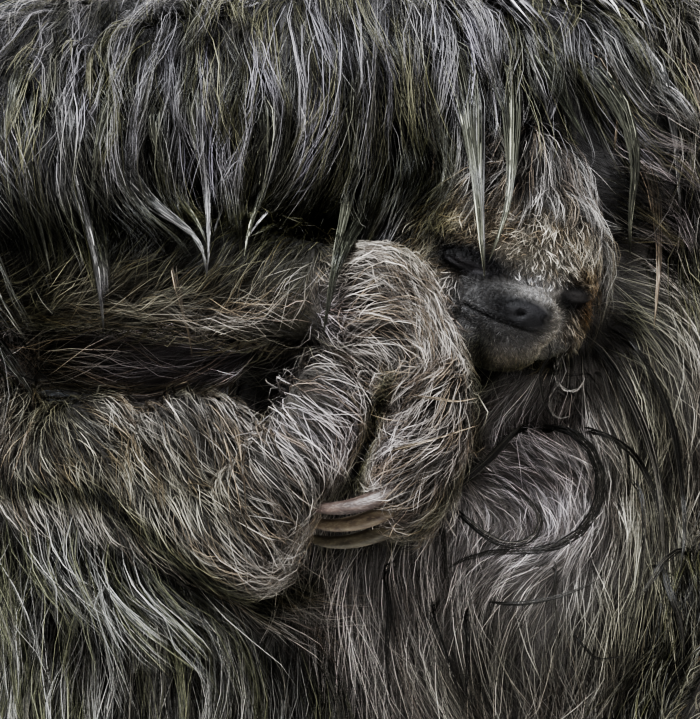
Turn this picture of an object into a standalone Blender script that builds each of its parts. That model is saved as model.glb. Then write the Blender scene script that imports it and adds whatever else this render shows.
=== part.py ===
"""A three-toed sloth asleep, sitting curled on the floor, life size. Metres, +Z up, the face towards -Y.

Each part of the body is a closed form of the coat's outer surface. Its right hand hooks round its own
raised right foot, its left hand lies over the left foot, and the chin rests on the chest. Right and left
are the animal's own.
"""

import math

import bmesh
import bpy
from mathutils import Matrix, Vector

# ---------------------------------------------------------------- driving sizes, in metres and degrees
GAP = 0.00035  # clearance between neighbours
FLOOR = 0.0
BOX_CENTRE = Vector((-0.005, -0.0065, 0.0))  # brings the origin under the middle of the animal

HEAD_YAW, HEAD_PITCH, HEAD_ROLL = 22.0, 8.0, 16.0  # turned to its left, chin down, leaning
CLAW_DEPTH, CLAW_WIDTH = 0.0088, 0.0062  # a claw's section at its root
CLAW_STEPS, CLAW_SIDES = 6, 6
TOES = 3

GRID = 0.0055  # grid of the union that joins each part's balls and capsules
FINE_GRID = 0.0010  # the same for the nose and eyelids
SMOOTHING = 9


def at(x, y, z):
    """A point of the design, moved so that the origin lies on the floor under the box's middle."""
    return Vector((x, y, z)) - BOX_CENTRE


# The skeleton's joints, right (viewer's left) and left.
SHOULDER_R, ELBOW_R = at(-0.056, 0.006, 0.326), at(-0.166, -0.044, 0.252)
WRIST_R = at(-0.008, -0.118, 0.229)
PALM_R, KNUCKLE_R = at(0.0045, -0.130, 0.190), at(-0.003, -0.124, 0.160)
SHOULDER_L, ELBOW_L, WRIST_L = at(0.084, 0.010, 0.320), at(0.160, -0.020, 0.200), at(0.137, -0.106, 0.084)
PALM_L, KNUCKLE_L = at(0.114, -0.138, 0.058), at(0.092, -0.152, 0.046)
HIP_R, KNEE_R, HEEL_R = at(-0.064, 0.010, 0.072), at(-0.168, -0.048, 0.160), at(-0.072, -0.112, 0.136)
ARCH_R, TOE_R = at(-0.046, -0.120, 0.168), at(-0.034, -0.118, 0.190)
HIP_L, KNEE_L, HEEL_L = at(0.066, 0.010, 0.066), at(0.158, -0.062, 0.112), at(0.100, -0.108, 0.030)
ARCH_L, TOE_L = at(0.070, -0.124, 0.026), at(0.042, -0.134, 0.021)
HEAD = at(0.0295, -0.072, 0.239)
NAPE = at(0.012, 0.010, 0.300)

HEAD_TURN = (
    Matrix.Rotation(math.radians(HEAD_ROLL), 3, "Y")
    @ Matrix.Rotation(math.radians(HEAD_YAW), 3, "Z")
    @ Matrix.Rotation(math.radians(HEAD_PITCH), 3, "X")
)
LEVEL = Matrix.Identity(3)


def on_head(x, y, z):
    """A point in the head's own axes: +X its left, -Y out of its nose, +Z its crown."""
    return HEAD + HEAD_TURN @ Vector((x, y, z))


# ---------------------------------------------------------------- scene and materials
for leftover in list(bpy.data.objects):
    bpy.data.objects.remove(leftover, do_unlink=True)

sloth = bpy.data.collections.new("three_toed_sloth")
cutters = bpy.data.collections.new("cutters")
cutters.hide_render = True
for collection in (sloth, cutters):
    bpy.context.scene.collection.children.link(collection)


def material(name, colour, roughness):
    made = bpy.data.materials.new(name)
    made.use_nodes = True
    shader = made.node_tree.nodes["Principled BSDF"]
    shader.inputs["Base Color"].default_value = (*colour, 1.0)
    shader.inputs["Roughness"].default_value = roughness
    shader.inputs["Metallic"].default_value = 0.0
    return made


MANTLE = material("mantle_coat", (0.150, 0.145, 0.110), 0.65)
LIMB = material("limb_coat", (0.270, 0.225, 0.160), 0.80)
FACE = material("face_coat", (0.330, 0.270, 0.180), 0.80)
BARE = material("bare_skin", (0.045, 0.042, 0.045), 0.50)
HORN = material("claw_horn", (0.330, 0.255, 0.170), 0.38)


# ---------------------------------------------------------------- shapes
def add_ball(bm, centre, radii, turn=LEVEL):
    """An ellipsoid with its half axes along the columns of turn."""
    matrix = Matrix.Translation(centre) @ turn.to_4x4() @ Matrix.Diagonal((*radii, 1.0))
    bmesh.ops.create_icosphere(bm, subdivisions=3, radius=1.0, matrix=matrix)


def add_capsule(bm, start, start_radius, end, end_radius):
    """The hull of two balls: one stretch of a limb."""
    hull = bmesh.new()
    for centre, radius in ((start, start_radius), (end, end_radius)):
        bmesh.ops.create_icosphere(hull, subdivisions=3, radius=radius, matrix=Matrix.Translation(centre))
    found = bmesh.ops.convex_hull(hull, input=hull.verts)
    inner = {item for item in found["geom_interior"] if isinstance(item, bmesh.types.BMVert)}
    bmesh.ops.delete(hull, geom=list(inner), context="VERTS")
    mesh = bpy.data.meshes.new("stretch")
    hull.to_mesh(mesh)
    hull.free()
    bm.from_mesh(mesh)
    bpy.data.meshes.remove(mesh)


def evaluated_mesh(obj):
    """The object's mesh with its modifiers applied."""
    bpy.context.view_layer.update()
    graph = bpy.context.evaluated_depsgraph_get()
    return bpy.data.meshes.new_from_object(obj.evaluated_get(graph))


def keep_largest_body(mesh):
    """Drops crumbs that a cut leaves, such as the far side of a thin edge."""
    bm = bmesh.new()
    bm.from_mesh(mesh)
    bodies, seen = [], set()
    for first in bm.verts:
        if first in seen:
            continue
        body, front = {first}, [first]
        while front:
            for edge in front.pop().link_edges:
                for vert in edge.verts:
                    if vert not in body:
                        body.add(vert)
                        front.append(vert)
        seen |= body
        bodies.append(body)
    largest = max(bodies, key=len)
    crumbs = [vert for vert in bm.verts if vert not in largest]
    bmesh.ops.delete(bm, geom=crumbs, context="VERTS")
    bm.to_mesh(mesh)
    bm.free()


def coat_form(name, finish, triangles, chain=(), balls=(), shags=(), grid=GRID):
    """A soft form: capsules along a chain of (point, radius) and balls, joined on a grid, then smoothed."""
    bm = bmesh.new()
    for (start, start_radius), (end, end_radius) in zip(chain, chain[1:]):
        add_capsule(bm, start, start_radius, end, end_radius)
    for ball in balls:
        add_ball(bm, *ball)
    mesh = bpy.data.meshes.new(name)
    bm.to_mesh(mesh)
    bm.free()
    obj = bpy.data.objects.new(name, mesh)
    sloth.objects.link(obj)
    union = obj.modifiers.new("union", "REMESH")
    union.mode = "VOXEL"
    union.voxel_size = grid
    soften = obj.modifiers.new("soften", "SMOOTH")
    soften.factor = 0.5
    soften.iterations = SMOOTHING
    obj.data = evaluated_mesh(obj)
    obj.modifiers.clear()
    for shag in shags:
        comb(obj.data, *shag)
    thin = obj.modifiers.new("thin", "DECIMATE")
    thin.ratio = min(1.0, triangles / sum(len(face.vertices) - 2 for face in obj.data.polygons))
    relax = obj.modifiers.new("relax", "SMOOTH")
    relax.factor = 0.4
    relax.iterations = 1
    obj.data = evaluated_mesh(obj)
    obj.modifiers.clear()
    obj.data.name = name
    obj.data.materials.clear()
    obj.data.materials.append(finish)
    obj.data.shade_smooth()
    return obj


def comb(mesh, depth, locks, hang):
    """Furrows that run down a form between its hanging locks, deeper towards its underside."""
    heights = [vert.co.z for vert in mesh.vertices]
    low, high = min(heights), max(heights)
    middle = sum((vert.co for vert in mesh.vertices), Vector()) / len(mesh.vertices)
    moves = []
    for vert in mesh.vertices:
        along = math.atan2(vert.co.y - middle.y, vert.co.x - middle.x)
        lowness = (high - vert.co.z) / (high - low)
        ridge = 0.5 + 0.5 * math.cos(locks * along + 2.0 * math.sin(3.0 * along))
        side = math.sqrt(max(0.0, 1.0 - vert.normal.z**2))
        moves.append((vert.normal * depth * (ridge - 1.0) * side, hang * ridge * lowness**3))
    for vert, (furrow, drop) in zip(mesh.vertices, moves):
        vert.co += furrow
        vert.co.z -= drop


def claw_section():
    """The oval that a claw's curve sweeps, deeper than it is wide."""
    curve = bpy.data.curves.new("claw_section", "CURVE")
    curve.dimensions = "2D"
    ring = curve.splines.new("POLY")
    ring.points.add(CLAW_SIDES - 1)
    for number, point in enumerate(ring.points):
        turn = 2 * math.pi * (number + 0.5) / CLAW_SIDES
        point.co = (CLAW_WIDTH / 2 * math.cos(turn), CLAW_DEPTH / 2 * math.sin(turn), 0, 1)
    ring.use_cyclic_u = True
    obj = bpy.data.objects.new("claw_section", curve)
    cutters.objects.link(obj)
    obj.hide_render = True
    return obj


SECTION = claw_section()


def claw(name, root, forward, curl, bend, first, last):
    """A tapering horn hook: an arc of radius bend from angle first to last, in degrees, in the plane of
    forward and curl. At angle 0 it runs along forward, and it turns towards curl."""
    curve = bpy.data.curves.new(name, "CURVE")
    curve.dimensions = "3D"
    curve.bevel_mode = "OBJECT"
    curve.bevel_object = SECTION
    curve.use_fill_caps = True
    line = curve.splines.new("POLY")
    line.points.add(CLAW_STEPS)
    for number, point in enumerate(line.points):
        share = number / CLAW_STEPS
        angle = math.radians(first + (last - first) * share)
        start = math.radians(first)
        along = bend * (math.sin(angle) - math.sin(start))
        across = -bend * (math.cos(angle) - math.cos(start))
        point.co = (along, across, 0, 1)
        point.radius = 0.09 + 0.91 * (1 - share**1.7) ** 0.8
    curve.twist_mode = "Z_UP"
    swept = bpy.data.objects.new(name + "_line", curve)
    sloth.objects.link(swept)
    mesh = evaluated_mesh(swept)
    bpy.data.objects.remove(swept, do_unlink=True)
    bm = bmesh.new()
    bm.from_mesh(mesh)
    bmesh.ops.remove_doubles(bm, verts=bm.verts, dist=1e-5)
    side = forward.cross(curl).normalized()
    frame = Matrix((forward.normalized(), side.cross(forward).normalized(), side)).transposed()
    bmesh.ops.transform(bm, matrix=Matrix.Translation(root) @ frame.to_4x4(), verts=bm.verts)
    bmesh.ops.recalc_face_normals(bm, faces=bm.faces)
    bm.to_mesh(mesh)
    bm.free()
    mesh.name = name
    mesh.materials.clear()
    mesh.materials.append(HORN)
    mesh.shade_smooth()
    obj = bpy.data.objects.new(name, mesh)
    sloth.objects.link(obj)
    return obj


def claw_row(limb, root, forward, across, spacing, bend, first, last):
    """The three claws of a hand or foot, side by side along across."""
    forward, across = forward.normalized(), across.normalized()
    curl = across.cross(forward).normalized()
    return [
        claw(f"claw_{limb}_{toe + 1}", root + across * spacing * toe, forward, curl, bend, first, last)
        for toe in range(TOES)
    ]


# ---------------------------------------------------------------- claws
claws = []
claws += claw_row(
    "hand_right",
    at(-0.0085, -0.1270, 0.1520),
    Vector((-0.90, 0.22, 0.04)),
    Vector((0.10, 0.66, -0.75)),
    spacing=0.0088,
    bend=0.040,
    first=-30,
    last=55,
)
claws += claw_row(
    "foot_right",
    TOE_R + Vector((-0.0090, 0.006, 0.006)),
    Vector((0.0, 1.0, 0.0)),
    Vector((1.0, 0.0, 0.0)),
    spacing=0.0085,
    bend=0.032,
    first=-20,
    last=70,
)
claws += claw_row(
    "hand_left",
    KNUCKLE_L + Vector((-0.004, -0.010, -0.004)),
    Vector((-0.90, -0.20, -0.38)),
    Vector((0.20, 0.60, -0.79)),
    spacing=0.0088,
    bend=0.038,
    first=-55,
    last=35,
)
claws += claw_row(
    "foot_left",
    TOE_L + Vector((-0.004, -0.009, -0.012)),
    Vector((-0.94, -0.34, 0.0)),
    Vector((0.0, 0.30, 1.0)),
    spacing=0.0085,
    bend=0.032,
    first=-10,
    last=80,
)

# ---------------------------------------------------------------- head
lids = [
    coat_form(
        f"eyelid_{side}",
        BARE,
        90,
        balls=[(on_head(sign * 0.0200, -0.0270, 0.0020), (0.0080, 0.0065, 0.0045), HEAD_TURN)],
        grid=FINE_GRID,
    )
    for side, sign in (("right", -1), ("left", 1))
]
nose = coat_form(
    "nose",
    BARE,
    160,
    balls=[
        (on_head(-0.001, -0.0450, -0.0095), (0.0140, 0.0080, 0.0085), HEAD_TURN),
        (on_head(-0.001, -0.0400, -0.0050), (0.0105, 0.0085, 0.0070), HEAD_TURN),
    ],
    grid=FINE_GRID,
)
head = coat_form(
    "head",
    FACE,
    400,
    balls=[
        (on_head(0.0, 0.006, 0.008), (0.046, 0.043, 0.047), HEAD_TURN),
        (on_head(0.0, -0.022, -0.011), (0.026, 0.026, 0.020), HEAD_TURN),
        (on_head(0.0, -0.025, -0.024), (0.018, 0.017, 0.012), HEAD_TURN),
        (on_head(0.022, -0.008, -0.010), (0.022, 0.023, 0.023), HEAD_TURN),
        (on_head(-0.022, -0.008, -0.010), (0.022, 0.023, 0.023), HEAD_TURN),
    ],
)

# ---------------------------------------------------------------- hands and feet
hand_right = coat_form(
    "hand_right",
    LIMB,
    190,
    chain=[(WRIST_R, 0.0285), (PALM_R, 0.0185), (KNUCKLE_R, 0.0190), (at(-0.005, -0.114, 0.148), 0.0140)],
    balls=[(at(-0.016, -0.112, 0.236), (0.026, 0.026, 0.023))],
)
foot_right = coat_form(
    "foot_right",
    LIMB,
    180,
    chain=[(HEEL_R, 0.0270), (ARCH_R, 0.0220), (TOE_R, 0.0215)],
    balls=[(HEEL_R + Vector((0.004, 0, -0.010)), (0.022, 0.020, 0.018))],
)
hand_left = coat_form(
    "hand_left",
    LIMB,
    160,
    chain=[(WRIST_L, 0.0270), (PALM_L, 0.0200), (KNUCKLE_L, 0.0165)],
)
foot_left = coat_form(
    "foot_left",
    LIMB,
    170,
    chain=[(HEEL_L, 0.0320), (ARCH_L, 0.0270), (TOE_L, 0.0225)],
)

# ---------------------------------------------------------------- arms and legs
forearm_right = coat_form(
    "forearm_right",
    LIMB,
    200,
    chain=[(ELBOW_R, 0.0370), (ELBOW_R.lerp(WRIST_R, 0.45), 0.0315), (WRIST_R, 0.0270)],
    shags=[(0.0015, 9, 0.004)],
)
forearm_left = coat_form(
    "forearm_left",
    LIMB,
    170,
    chain=[(ELBOW_L, 0.0340), (ELBOW_L.lerp(WRIST_L, 0.5), 0.0330), (WRIST_L, 0.0270)],
    shags=[(0.0015, 9, 0.004)],
)
shin_right = coat_form(
    "shin_right",
    LIMB,
    200,
    chain=[(KNEE_R, 0.0390), (KNEE_R.lerp(HEEL_R, 0.60), 0.0350), (HEEL_R, 0.0260)],
    balls=[(at(-0.086, -0.092, 0.168), (0.034, 0.028, 0.030))],
    shags=[(0.0015, 9, 0.006)],
)
shin_left = coat_form(
    "shin_left",
    LIMB,
    150,
    chain=[(KNEE_L, 0.0370), (KNEE_L.lerp(HEEL_L, 0.55), 0.0330), (HEEL_L, 0.0280)],
    shags=[(0.0015, 9, 0.004)],
)
upper_arm_right = coat_form(
    "upper_arm_right",
    MANTLE,
    230,
    chain=[(SHOULDER_R, 0.0600), (at(-0.160, -0.034, 0.286), 0.0560)],
    balls=[
        (at(-0.118, 0.004, 0.236), (0.076, 0.052, 0.062)),
        (at(-0.140, -0.074, 0.280), (0.058, 0.042, 0.046)),
        (at(-0.080, -0.074, 0.296), (0.058, 0.042, 0.046)),
        (at(-0.025, -0.066, 0.320), (0.058, 0.040, 0.046)),
    ],
    shags=[(0.0030, 11, 0.012)],
)
upper_arm_left = coat_form(
    "upper_arm_left",
    MANTLE,
    200,
    chain=[(SHOULDER_L, 0.0540), (SHOULDER_L.lerp(ELBOW_L, 0.5), 0.0490), (ELBOW_L, 0.0460)],
    shags=[(0.0030, 11, 0.014)],
)
thigh_right = coat_form(
    "thigh_right",
    MANTLE,
    200,
    chain=[(HIP_R, 0.0760), (KNEE_R, 0.0470)],
    balls=[(at(-0.108, -0.020, 0.070), (0.062, 0.066, 0.074))],
    shags=[(0.0025, 13, 0.0)],
)
thigh_left = coat_form(
    "thigh_left",
    MANTLE,
    180,
    chain=[(HIP_L, 0.0740), (KNEE_L, 0.0470)],
    balls=[(at(0.114, -0.024, 0.060), (0.058, 0.062, 0.064))],
    shags=[(0.0025, 13, 0.0)],
)

# ---------------------------------------------------------------- neck, trunk and tail
neck = coat_form(
    "neck",
    MANTLE,
    140,
    chain=[(HEAD, 0.0440), (NAPE, 0.0560)],
    balls=[(at(0.022, -0.034, 0.331), (0.084, 0.064, 0.046))],
    shags=[(0.0025, 9, 0.006)],
)
chest = coat_form(
    "chest",
    MANTLE,
    270,
    chain=[(at(0.0, 0.044, 0.215), 0.0980), (at(0.006, 0.034, 0.300), 0.0880)],
    balls=[
        (at(0.062, -0.036, 0.172), (0.040, 0.036, 0.042)),
        (at(0.058, 0.006, 0.200), (0.074, 0.060, 0.080)),
        (at(0.006, 0.020, 0.336), (0.100, 0.078, 0.053)),
    ],
    shags=[(0.0030, 15, 0.0)],
)
belly = coat_form(
    "belly",
    MANTLE,
    210,
    chain=[(at(0.0, 0.038, 0.098), 0.1050), (at(0.0, 0.040, 0.180), 0.0980)],
    balls=[(at(0.048, -0.024, 0.112), (0.078, 0.064, 0.082))],
    shags=[(0.0030, 15, 0.0)],
)
tail = coat_form(
    "tail",
    MANTLE,
    90,
    chain=[(at(0.0, 0.110, 0.038), 0.0280), (at(0.0, 0.158, 0.015), 0.0200)],
)


# ---------------------------------------------------------------- fitting
def grown(obj):
    """A helper a little larger than obj all round, which cuts its neighbours clear of it."""
    helper = bpy.data.objects.new(obj.name + "_clearance", obj.data)
    cutters.objects.link(helper)
    helper.hide_render = True
    helper.display_type = "WIRE"
    grow = helper.modifiers.new("grow", "DISPLACE")
    grow.mid_level = 0.0
    grow.strength = GAP
    return helper


def corners(obj):
    points = [vert.co for vert in obj.data.vertices]
    return [(min(p[axis] for p in points), max(p[axis] for p in points)) for axis in range(3)]


def near(first, second):
    pairs = zip(corners(first), corners(second))
    return all(
        low < other_high + GAP and other_low < high + GAP
        for (low, high), (other_low, other_high) in pairs
    )


def cut_at_floor(obj):
    """Leaves a small flat where the form meets the floor."""
    bm = bmesh.new()
    bm.from_mesh(obj.data)
    faces = bmesh.ops.bisect_plane(
        bm,
        geom=[*bm.verts, *bm.edges, *bm.faces],
        dist=1e-6,
        plane_co=(0, 0, FLOOR),
        plane_no=(0, 0, 1),
        clear_inner=True,
    )
    rim = [item for item in faces["geom_cut"] if isinstance(item, bmesh.types.BMEdge)]
    if rim:
        bmesh.ops.holes_fill(bm, edges=rim, sides=0)
        bmesh.ops.recalc_face_normals(bm, faces=bm.faces)
    bmesh.ops.triangulate(bm, faces=bm.faces)
    bm.to_mesh(obj.data)
    bm.free()


def fit(pieces):
    """Cuts each piece clear of the whole forms of all those before it, so earlier pieces stay whole."""
    for piece in pieces:
        cut_at_floor(piece)
    clearances = [grown(piece) for piece in pieces]
    for number, piece in reversed(list(enumerate(pieces))):
        others = [other for other in clearances[:number] if near(piece, other)]
        if not others:
            continue
        for other in others:
            cut = piece.modifiers.new("clear_of_" + other.name, "BOOLEAN")
            cut.operation = "DIFFERENCE"
            cut.solver = "EXACT"
            cut.object = other
        mesh = evaluated_mesh(piece)
        piece.modifiers.clear()
        keep_largest_body(mesh)
        piece.data = mesh
        mesh.name = piece.name


bpy.context.view_layer.update()
fit(
    [
        *claws,
        *lids,
        nose,
        head,
        hand_right,
        foot_right,
        hand_left,
        foot_left,
        forearm_right,
        forearm_left,
        shin_right,
        shin_left,
        upper_arm_right,
        upper_arm_left,
        thigh_right,
        thigh_left,
        neck,
        tail,
        chest,
        belly,
    ]
)
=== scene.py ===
# %% [markdown]
# # A three-toed sloth asleep, curled up in its wet coat
#
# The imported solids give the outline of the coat. Under it lies one skin, and over the skin grow
# tens of thousands of tapering strands, gathered into locks as wet hair gathers. Blender has hair curves
# and particles for this, but they don't survive an export, so the strands are real mesh.

import math

import bmesh
import bpy
import numpy as np
from mathutils import Matrix, Vector
from mathutils.bvhtree import BVHTree
from mathutils.kdtree import KDTree


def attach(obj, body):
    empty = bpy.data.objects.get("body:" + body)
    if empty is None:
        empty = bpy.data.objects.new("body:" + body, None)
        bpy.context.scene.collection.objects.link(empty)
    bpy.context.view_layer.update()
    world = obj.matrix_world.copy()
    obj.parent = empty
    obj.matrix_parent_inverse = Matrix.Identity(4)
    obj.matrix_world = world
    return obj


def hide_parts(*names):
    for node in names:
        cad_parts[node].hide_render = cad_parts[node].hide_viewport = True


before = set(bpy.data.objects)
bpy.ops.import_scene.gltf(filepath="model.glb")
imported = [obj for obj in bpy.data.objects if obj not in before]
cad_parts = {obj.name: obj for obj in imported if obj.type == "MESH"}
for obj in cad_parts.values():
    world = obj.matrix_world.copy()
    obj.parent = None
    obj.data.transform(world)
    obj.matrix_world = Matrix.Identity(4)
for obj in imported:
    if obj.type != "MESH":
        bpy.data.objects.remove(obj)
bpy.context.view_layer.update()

# %% [markdown]
# ## Helpers
#
# Each piece is a mesh in an object in the scene, and numbers for its points go in and out of the mesh as
# whole arrays. A few lines are needed again and again, so each is written once.


# %% Helpers for meshes
def placed(name, data):
    """An object in the scene that shows a mesh, a lamp or a camera."""
    obj = bpy.data.objects.new(name, data)
    bpy.context.scene.collection.objects.link(obj)
    return obj


def mesh_from(bm, name):
    """A mesh of what was built in a bmesh, which is then let go."""
    mesh = bpy.data.meshes.new(name)
    bm.to_mesh(mesh)
    bm.free()
    return mesh


def read_points(mesh, field="co"):
    """The place of every point of a mesh or, with field "normal", the way it faces."""
    found = np.empty(len(mesh.vertices) * 3)
    mesh.vertices.foreach_get(field, found)
    return found.reshape(-1, 3)


def write_points(mesh, name, values):
    """A new attribute with one number, or one vector, for every point of a mesh."""
    kind, field = ("FLOAT_VECTOR", "vector") if values.ndim == 2 else ("FLOAT", "value")
    mesh.attributes.new(name, kind, "POINT").data.foreach_set(field, values.ravel())


def normalised(vectors):
    """The same directions, each of length 1."""
    return vectors / (np.linalg.norm(vectors, axis=-1, keepdims=True) + 1e-12)


def fading(distance, width):
    """1 on a line, fading away on both sides of it."""
    return np.exp(-((distance / width) ** 2))


def bump_at(points, centre, reach):
    """1 at a centre, fading to 0 over a reach given for each axis."""
    return np.exp(-0.5 * (((points - np.array(centre)) / np.array(reach)) ** 2).sum(1))


FULL_TURN = 6.28  # an angle once round
rng = np.random.default_rng(11)
print("one source of chance, so that every run is the same")

# %% [markdown]
# ## Camera first
#
# The view is a close-up through a long lens, level with the animal's face, so that limbs near and far
# keep the same scale. A long focal length with the camera well back does that. An orthographic camera
# would look nearly the same, without the last trace of depth.

# %% Camera
VIEW_WIDTH, VIEW_MIDDLE = 0.266, Vector((-0.022, -0.10, 0.204))
CAMERA_BACK, SENSOR = 2.4, 36.0

camera_data = bpy.data.cameras.new("close_up")
camera_data.sensor_fit, camera_data.sensor_width = "HORIZONTAL", SENSOR
camera_data.lens = SENSOR * CAMERA_BACK / VIEW_WIDTH
camera_data.clip_start, camera_data.clip_end = 0.05, 50.0
camera = placed("close_up", camera_data)
camera.location = VIEW_MIDDLE - Vector((0, CAMERA_BACK, 0))
camera.rotation_euler = (math.pi / 2, 0, 0)
bpy.context.scene.camera = camera
print(f"lens {camera_data.lens:.0f} mm, {CAMERA_BACK} m back")

# %% [markdown]
# ## The body under the coat
#
# A limb under its hair is a tapering tube with round ends, and a belly or cheek is a squashed ball. The
# same list of tubes and balls serves twice: as operators that build the skin, and as a distance formula
# that tells which part each point of the skin belongs to. The forms could be sculpted by hand, but a list
# of joints and radii can be held against the solids. Right and left are the animal's own.


# %% Joints
MIDDLE_X, MIDDLE_Y = 0.005, 0.0065


def at(x, y, z):
    """A point measured from the seat, as the joints are, moved to the middle of the animal's box."""
    return Vector((x + MIDDLE_X, y + MIDDLE_Y, z))


SHOULDER_R, ELBOW_R = at(-0.056, 0.006, 0.322), at(-0.166, -0.044, 0.250)
WRIST_R, PALM_R = at(-0.0180, -0.118, 0.2260), at(0.0045, -0.128, 0.190)
KNUCKLE_R, FINGER_R = at(-0.003, -0.123, 0.160), at(-0.005, -0.115, 0.149)
SHOULDER_L, ELBOW_L, WRIST_L = at(0.084, 0.010, 0.316), at(0.160, -0.020, 0.202), at(0.137, -0.106, 0.084)
PALM_L, KNUCKLE_L = at(0.114, -0.138, 0.058), at(0.092, -0.152, 0.046)
HIP_R, KNEE_R, HEEL_R = at(-0.064, 0.010, 0.080), at(-0.168, -0.048, 0.164), at(-0.072, -0.110, 0.137)
ARCH_R, TOE_R = at(-0.047, -0.117, 0.168), at(-0.035, -0.116, 0.190)
HIP_L, KNEE_L, HEEL_L = at(0.066, 0.010, 0.076), at(0.158, -0.062, 0.114), at(0.100, -0.108, 0.032)
ARCH_L, TOE_L = at(0.070, -0.124, 0.028), at(0.042, -0.134, 0.024)
HEAD, NAPE = at(0.0295, -0.072, 0.239), at(0.012, 0.010, 0.296)

HEAD_TURN = (
    Matrix.Rotation(math.radians(16), 3, "Y")
    @ Matrix.Rotation(math.radians(22), 3, "Z")
    @ Matrix.Rotation(math.radians(8), 3, "X")
)


def on_head(x, y, z):
    """A point in the head's own axes: +X its left, -Y out of its nose, +Z its crown."""
    return HEAD + HEAD_TURN @ Vector((x, y, z))


print("head at", HEAD[:])

# %% Tubes and balls of each part
TUBES = {  # the middle line of each part, with its radius at each point
    "upper_arm_right": [(SHOULDER_R, 0.044), (at(-0.158, -0.032, 0.290), 0.043), (ELBOW_R, 0.028)],
    "forearm_right": [(ELBOW_R, 0.025), (ELBOW_R.lerp(WRIST_R, 0.45), 0.0210), (WRIST_R, 0.0185)],
    "hand_right": [(WRIST_R, 0.0200), (PALM_R, 0.0125), (KNUCKLE_R, 0.0130), (FINGER_R, 0.0095)],
    "thigh_right": [(HIP_R, 0.052), (KNEE_R, 0.032)],
    "shin_right": [(KNEE_R, 0.0215), (KNEE_R.lerp(HEEL_R, 0.6), 0.0245), (HEEL_R, 0.0185)],
    "foot_right": [(HEEL_R, 0.0190), (ARCH_R, 0.0150), (TOE_R, 0.0145)],
    "upper_arm_left": [(SHOULDER_L, 0.036), (ELBOW_L, 0.028)],
    "forearm_left": [(ELBOW_L, 0.025), (ELBOW_L.lerp(WRIST_L, 0.5), 0.0220), (WRIST_L, 0.0175)],
    "hand_left": [(WRIST_L, 0.0175), (PALM_L, 0.0130), (KNUCKLE_L, 0.0110)],
    "thigh_left": [(HIP_L, 0.050), (KNEE_L, 0.032)],
    "shin_left": [(KNEE_L, 0.027), (KNEE_L.lerp(HEEL_L, 0.55), 0.0230), (HEEL_L, 0.0190)],
    "foot_left": [(HEEL_L, 0.0230), (ARCH_L, 0.0190), (TOE_L, 0.0155)],
    "neck": [(HEAD + Vector((0, 0.010, 0)), 0.030), (NAPE, 0.042)],
    "chest": [(at(0, 0.042, 0.205), 0.072), (at(0.006, 0.034, 0.292), 0.064)],
    "belly": [(at(0, 0.038, 0.100), 0.076), (at(0, 0.040, 0.190), 0.072)],
    "tail": [(at(0, 0.100, 0.045), 0.017), (at(0, 0.152, 0.018), 0.010)],
}
BALLS = {  # middle and radii; those of the head are turned with it
    "upper_arm_right": [
        (at(-0.112, 0.006, 0.238), (0.066, 0.042, 0.052)),
        (at(-0.138, -0.060, 0.288), (0.048, 0.036, 0.034)),
        (at(-0.080, -0.062, 0.303), (0.050, 0.034, 0.034)),
        (at(-0.026, -0.056, 0.322), (0.048, 0.032, 0.030)),
    ],
    "hand_right": [(at(-0.028, -0.112, 0.2300), (0.018, 0.018, 0.0155))],
    "thigh_right": [(at(-0.110, -0.018, 0.076), (0.052, 0.049, 0.056))],
    "thigh_left": [(at(0.110, -0.022, 0.066), (0.044, 0.046, 0.048))],
    "shin_right": [
        (at(-0.086, -0.090, 0.168), (0.026, 0.018, 0.022)),
        (at(-0.126, -0.070, 0.168), (0.026, 0.020, 0.020)),
    ],
    "neck": [
        (at(0.026, -0.020, 0.318), (0.062, 0.044, 0.030)),
        (at(0.070, -0.014, 0.288), (0.034, 0.040, 0.040)),
    ],
    "chest": [
        (at(0.060, -0.030, 0.170), (0.030, 0.030, 0.032)),
        (at(0.064, 0.000, 0.186), (0.066, 0.050, 0.080)),
        (at(0.006, 0.022, 0.332), (0.088, 0.064, 0.040)),
    ],
    "belly": [(at(0.048, -0.016, 0.114), (0.066, 0.052, 0.070))],
    "head": [
        (on_head(0.001, 0.006, 0.006), (0.037, 0.033, 0.035)),
        (on_head(0.002, 0.022, 0.022), (0.035, 0.028, 0.031)),
        (on_head(0, -0.008, -0.002), (0.030, 0.025, 0.027)),
        (on_head(0.019, -0.007, -0.010), (0.0175, 0.0185, 0.0185)),
        (on_head(-0.019, -0.007, -0.010), (0.0175, 0.0185, 0.0185)),
        (on_head(0, -0.0215, -0.0115), (0.0205, 0.0220, 0.0150)),
        (on_head(-0.001, -0.0195, -0.0225), (0.0190, 0.0175, 0.0125)),
    ],
}
PARTS = sorted(set(TUBES) | set(BALLS))
print(len(PARTS), "parts under the coat")

# %% [markdown]
# ## Which part is nearest?
#
# Each kind of hair grows on its own part of the body, so every point of the skin asks which part's flesh
# it is nearest to. In the editor the regions would be painted by hand. Here the distance to a tube is the
# distance to its middle line less the radius there, and a ball's is close enough from two scaled lengths.


# %% The nearest part
def stretches(part):
    """The pieces between neighbours on a part's middle line: start, its radius, end, its radius."""
    line = TUBES.get(part, [])
    return [(*first, *second) for first, second in zip(line, line[1:])]


def turn_of(part):
    """How a part's balls are turned."""
    return HEAD_TURN if part in ("head", "face_details") else Matrix.Identity(3)


tube_rows = [
    (PARTS.index(part), *start, *(end - start), start_radius, end_radius - start_radius)
    for part in TUBES
    for start, start_radius, end, end_radius in stretches(part)
]
tube_table = np.array(tube_rows)
ball_rows = [(PARTS.index(part), *ball, turn_of(part)) for part, balls in BALLS.items() for ball in balls]
ball_centre = np.array([row[1][:] for row in ball_rows])
ball_radii = np.array([row[2] for row in ball_rows])
ball_axes = np.array([[list(line) for line in row[3]] for row in ball_rows])
row_part = np.array([row[0] for row in tube_rows + ball_rows])


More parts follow.
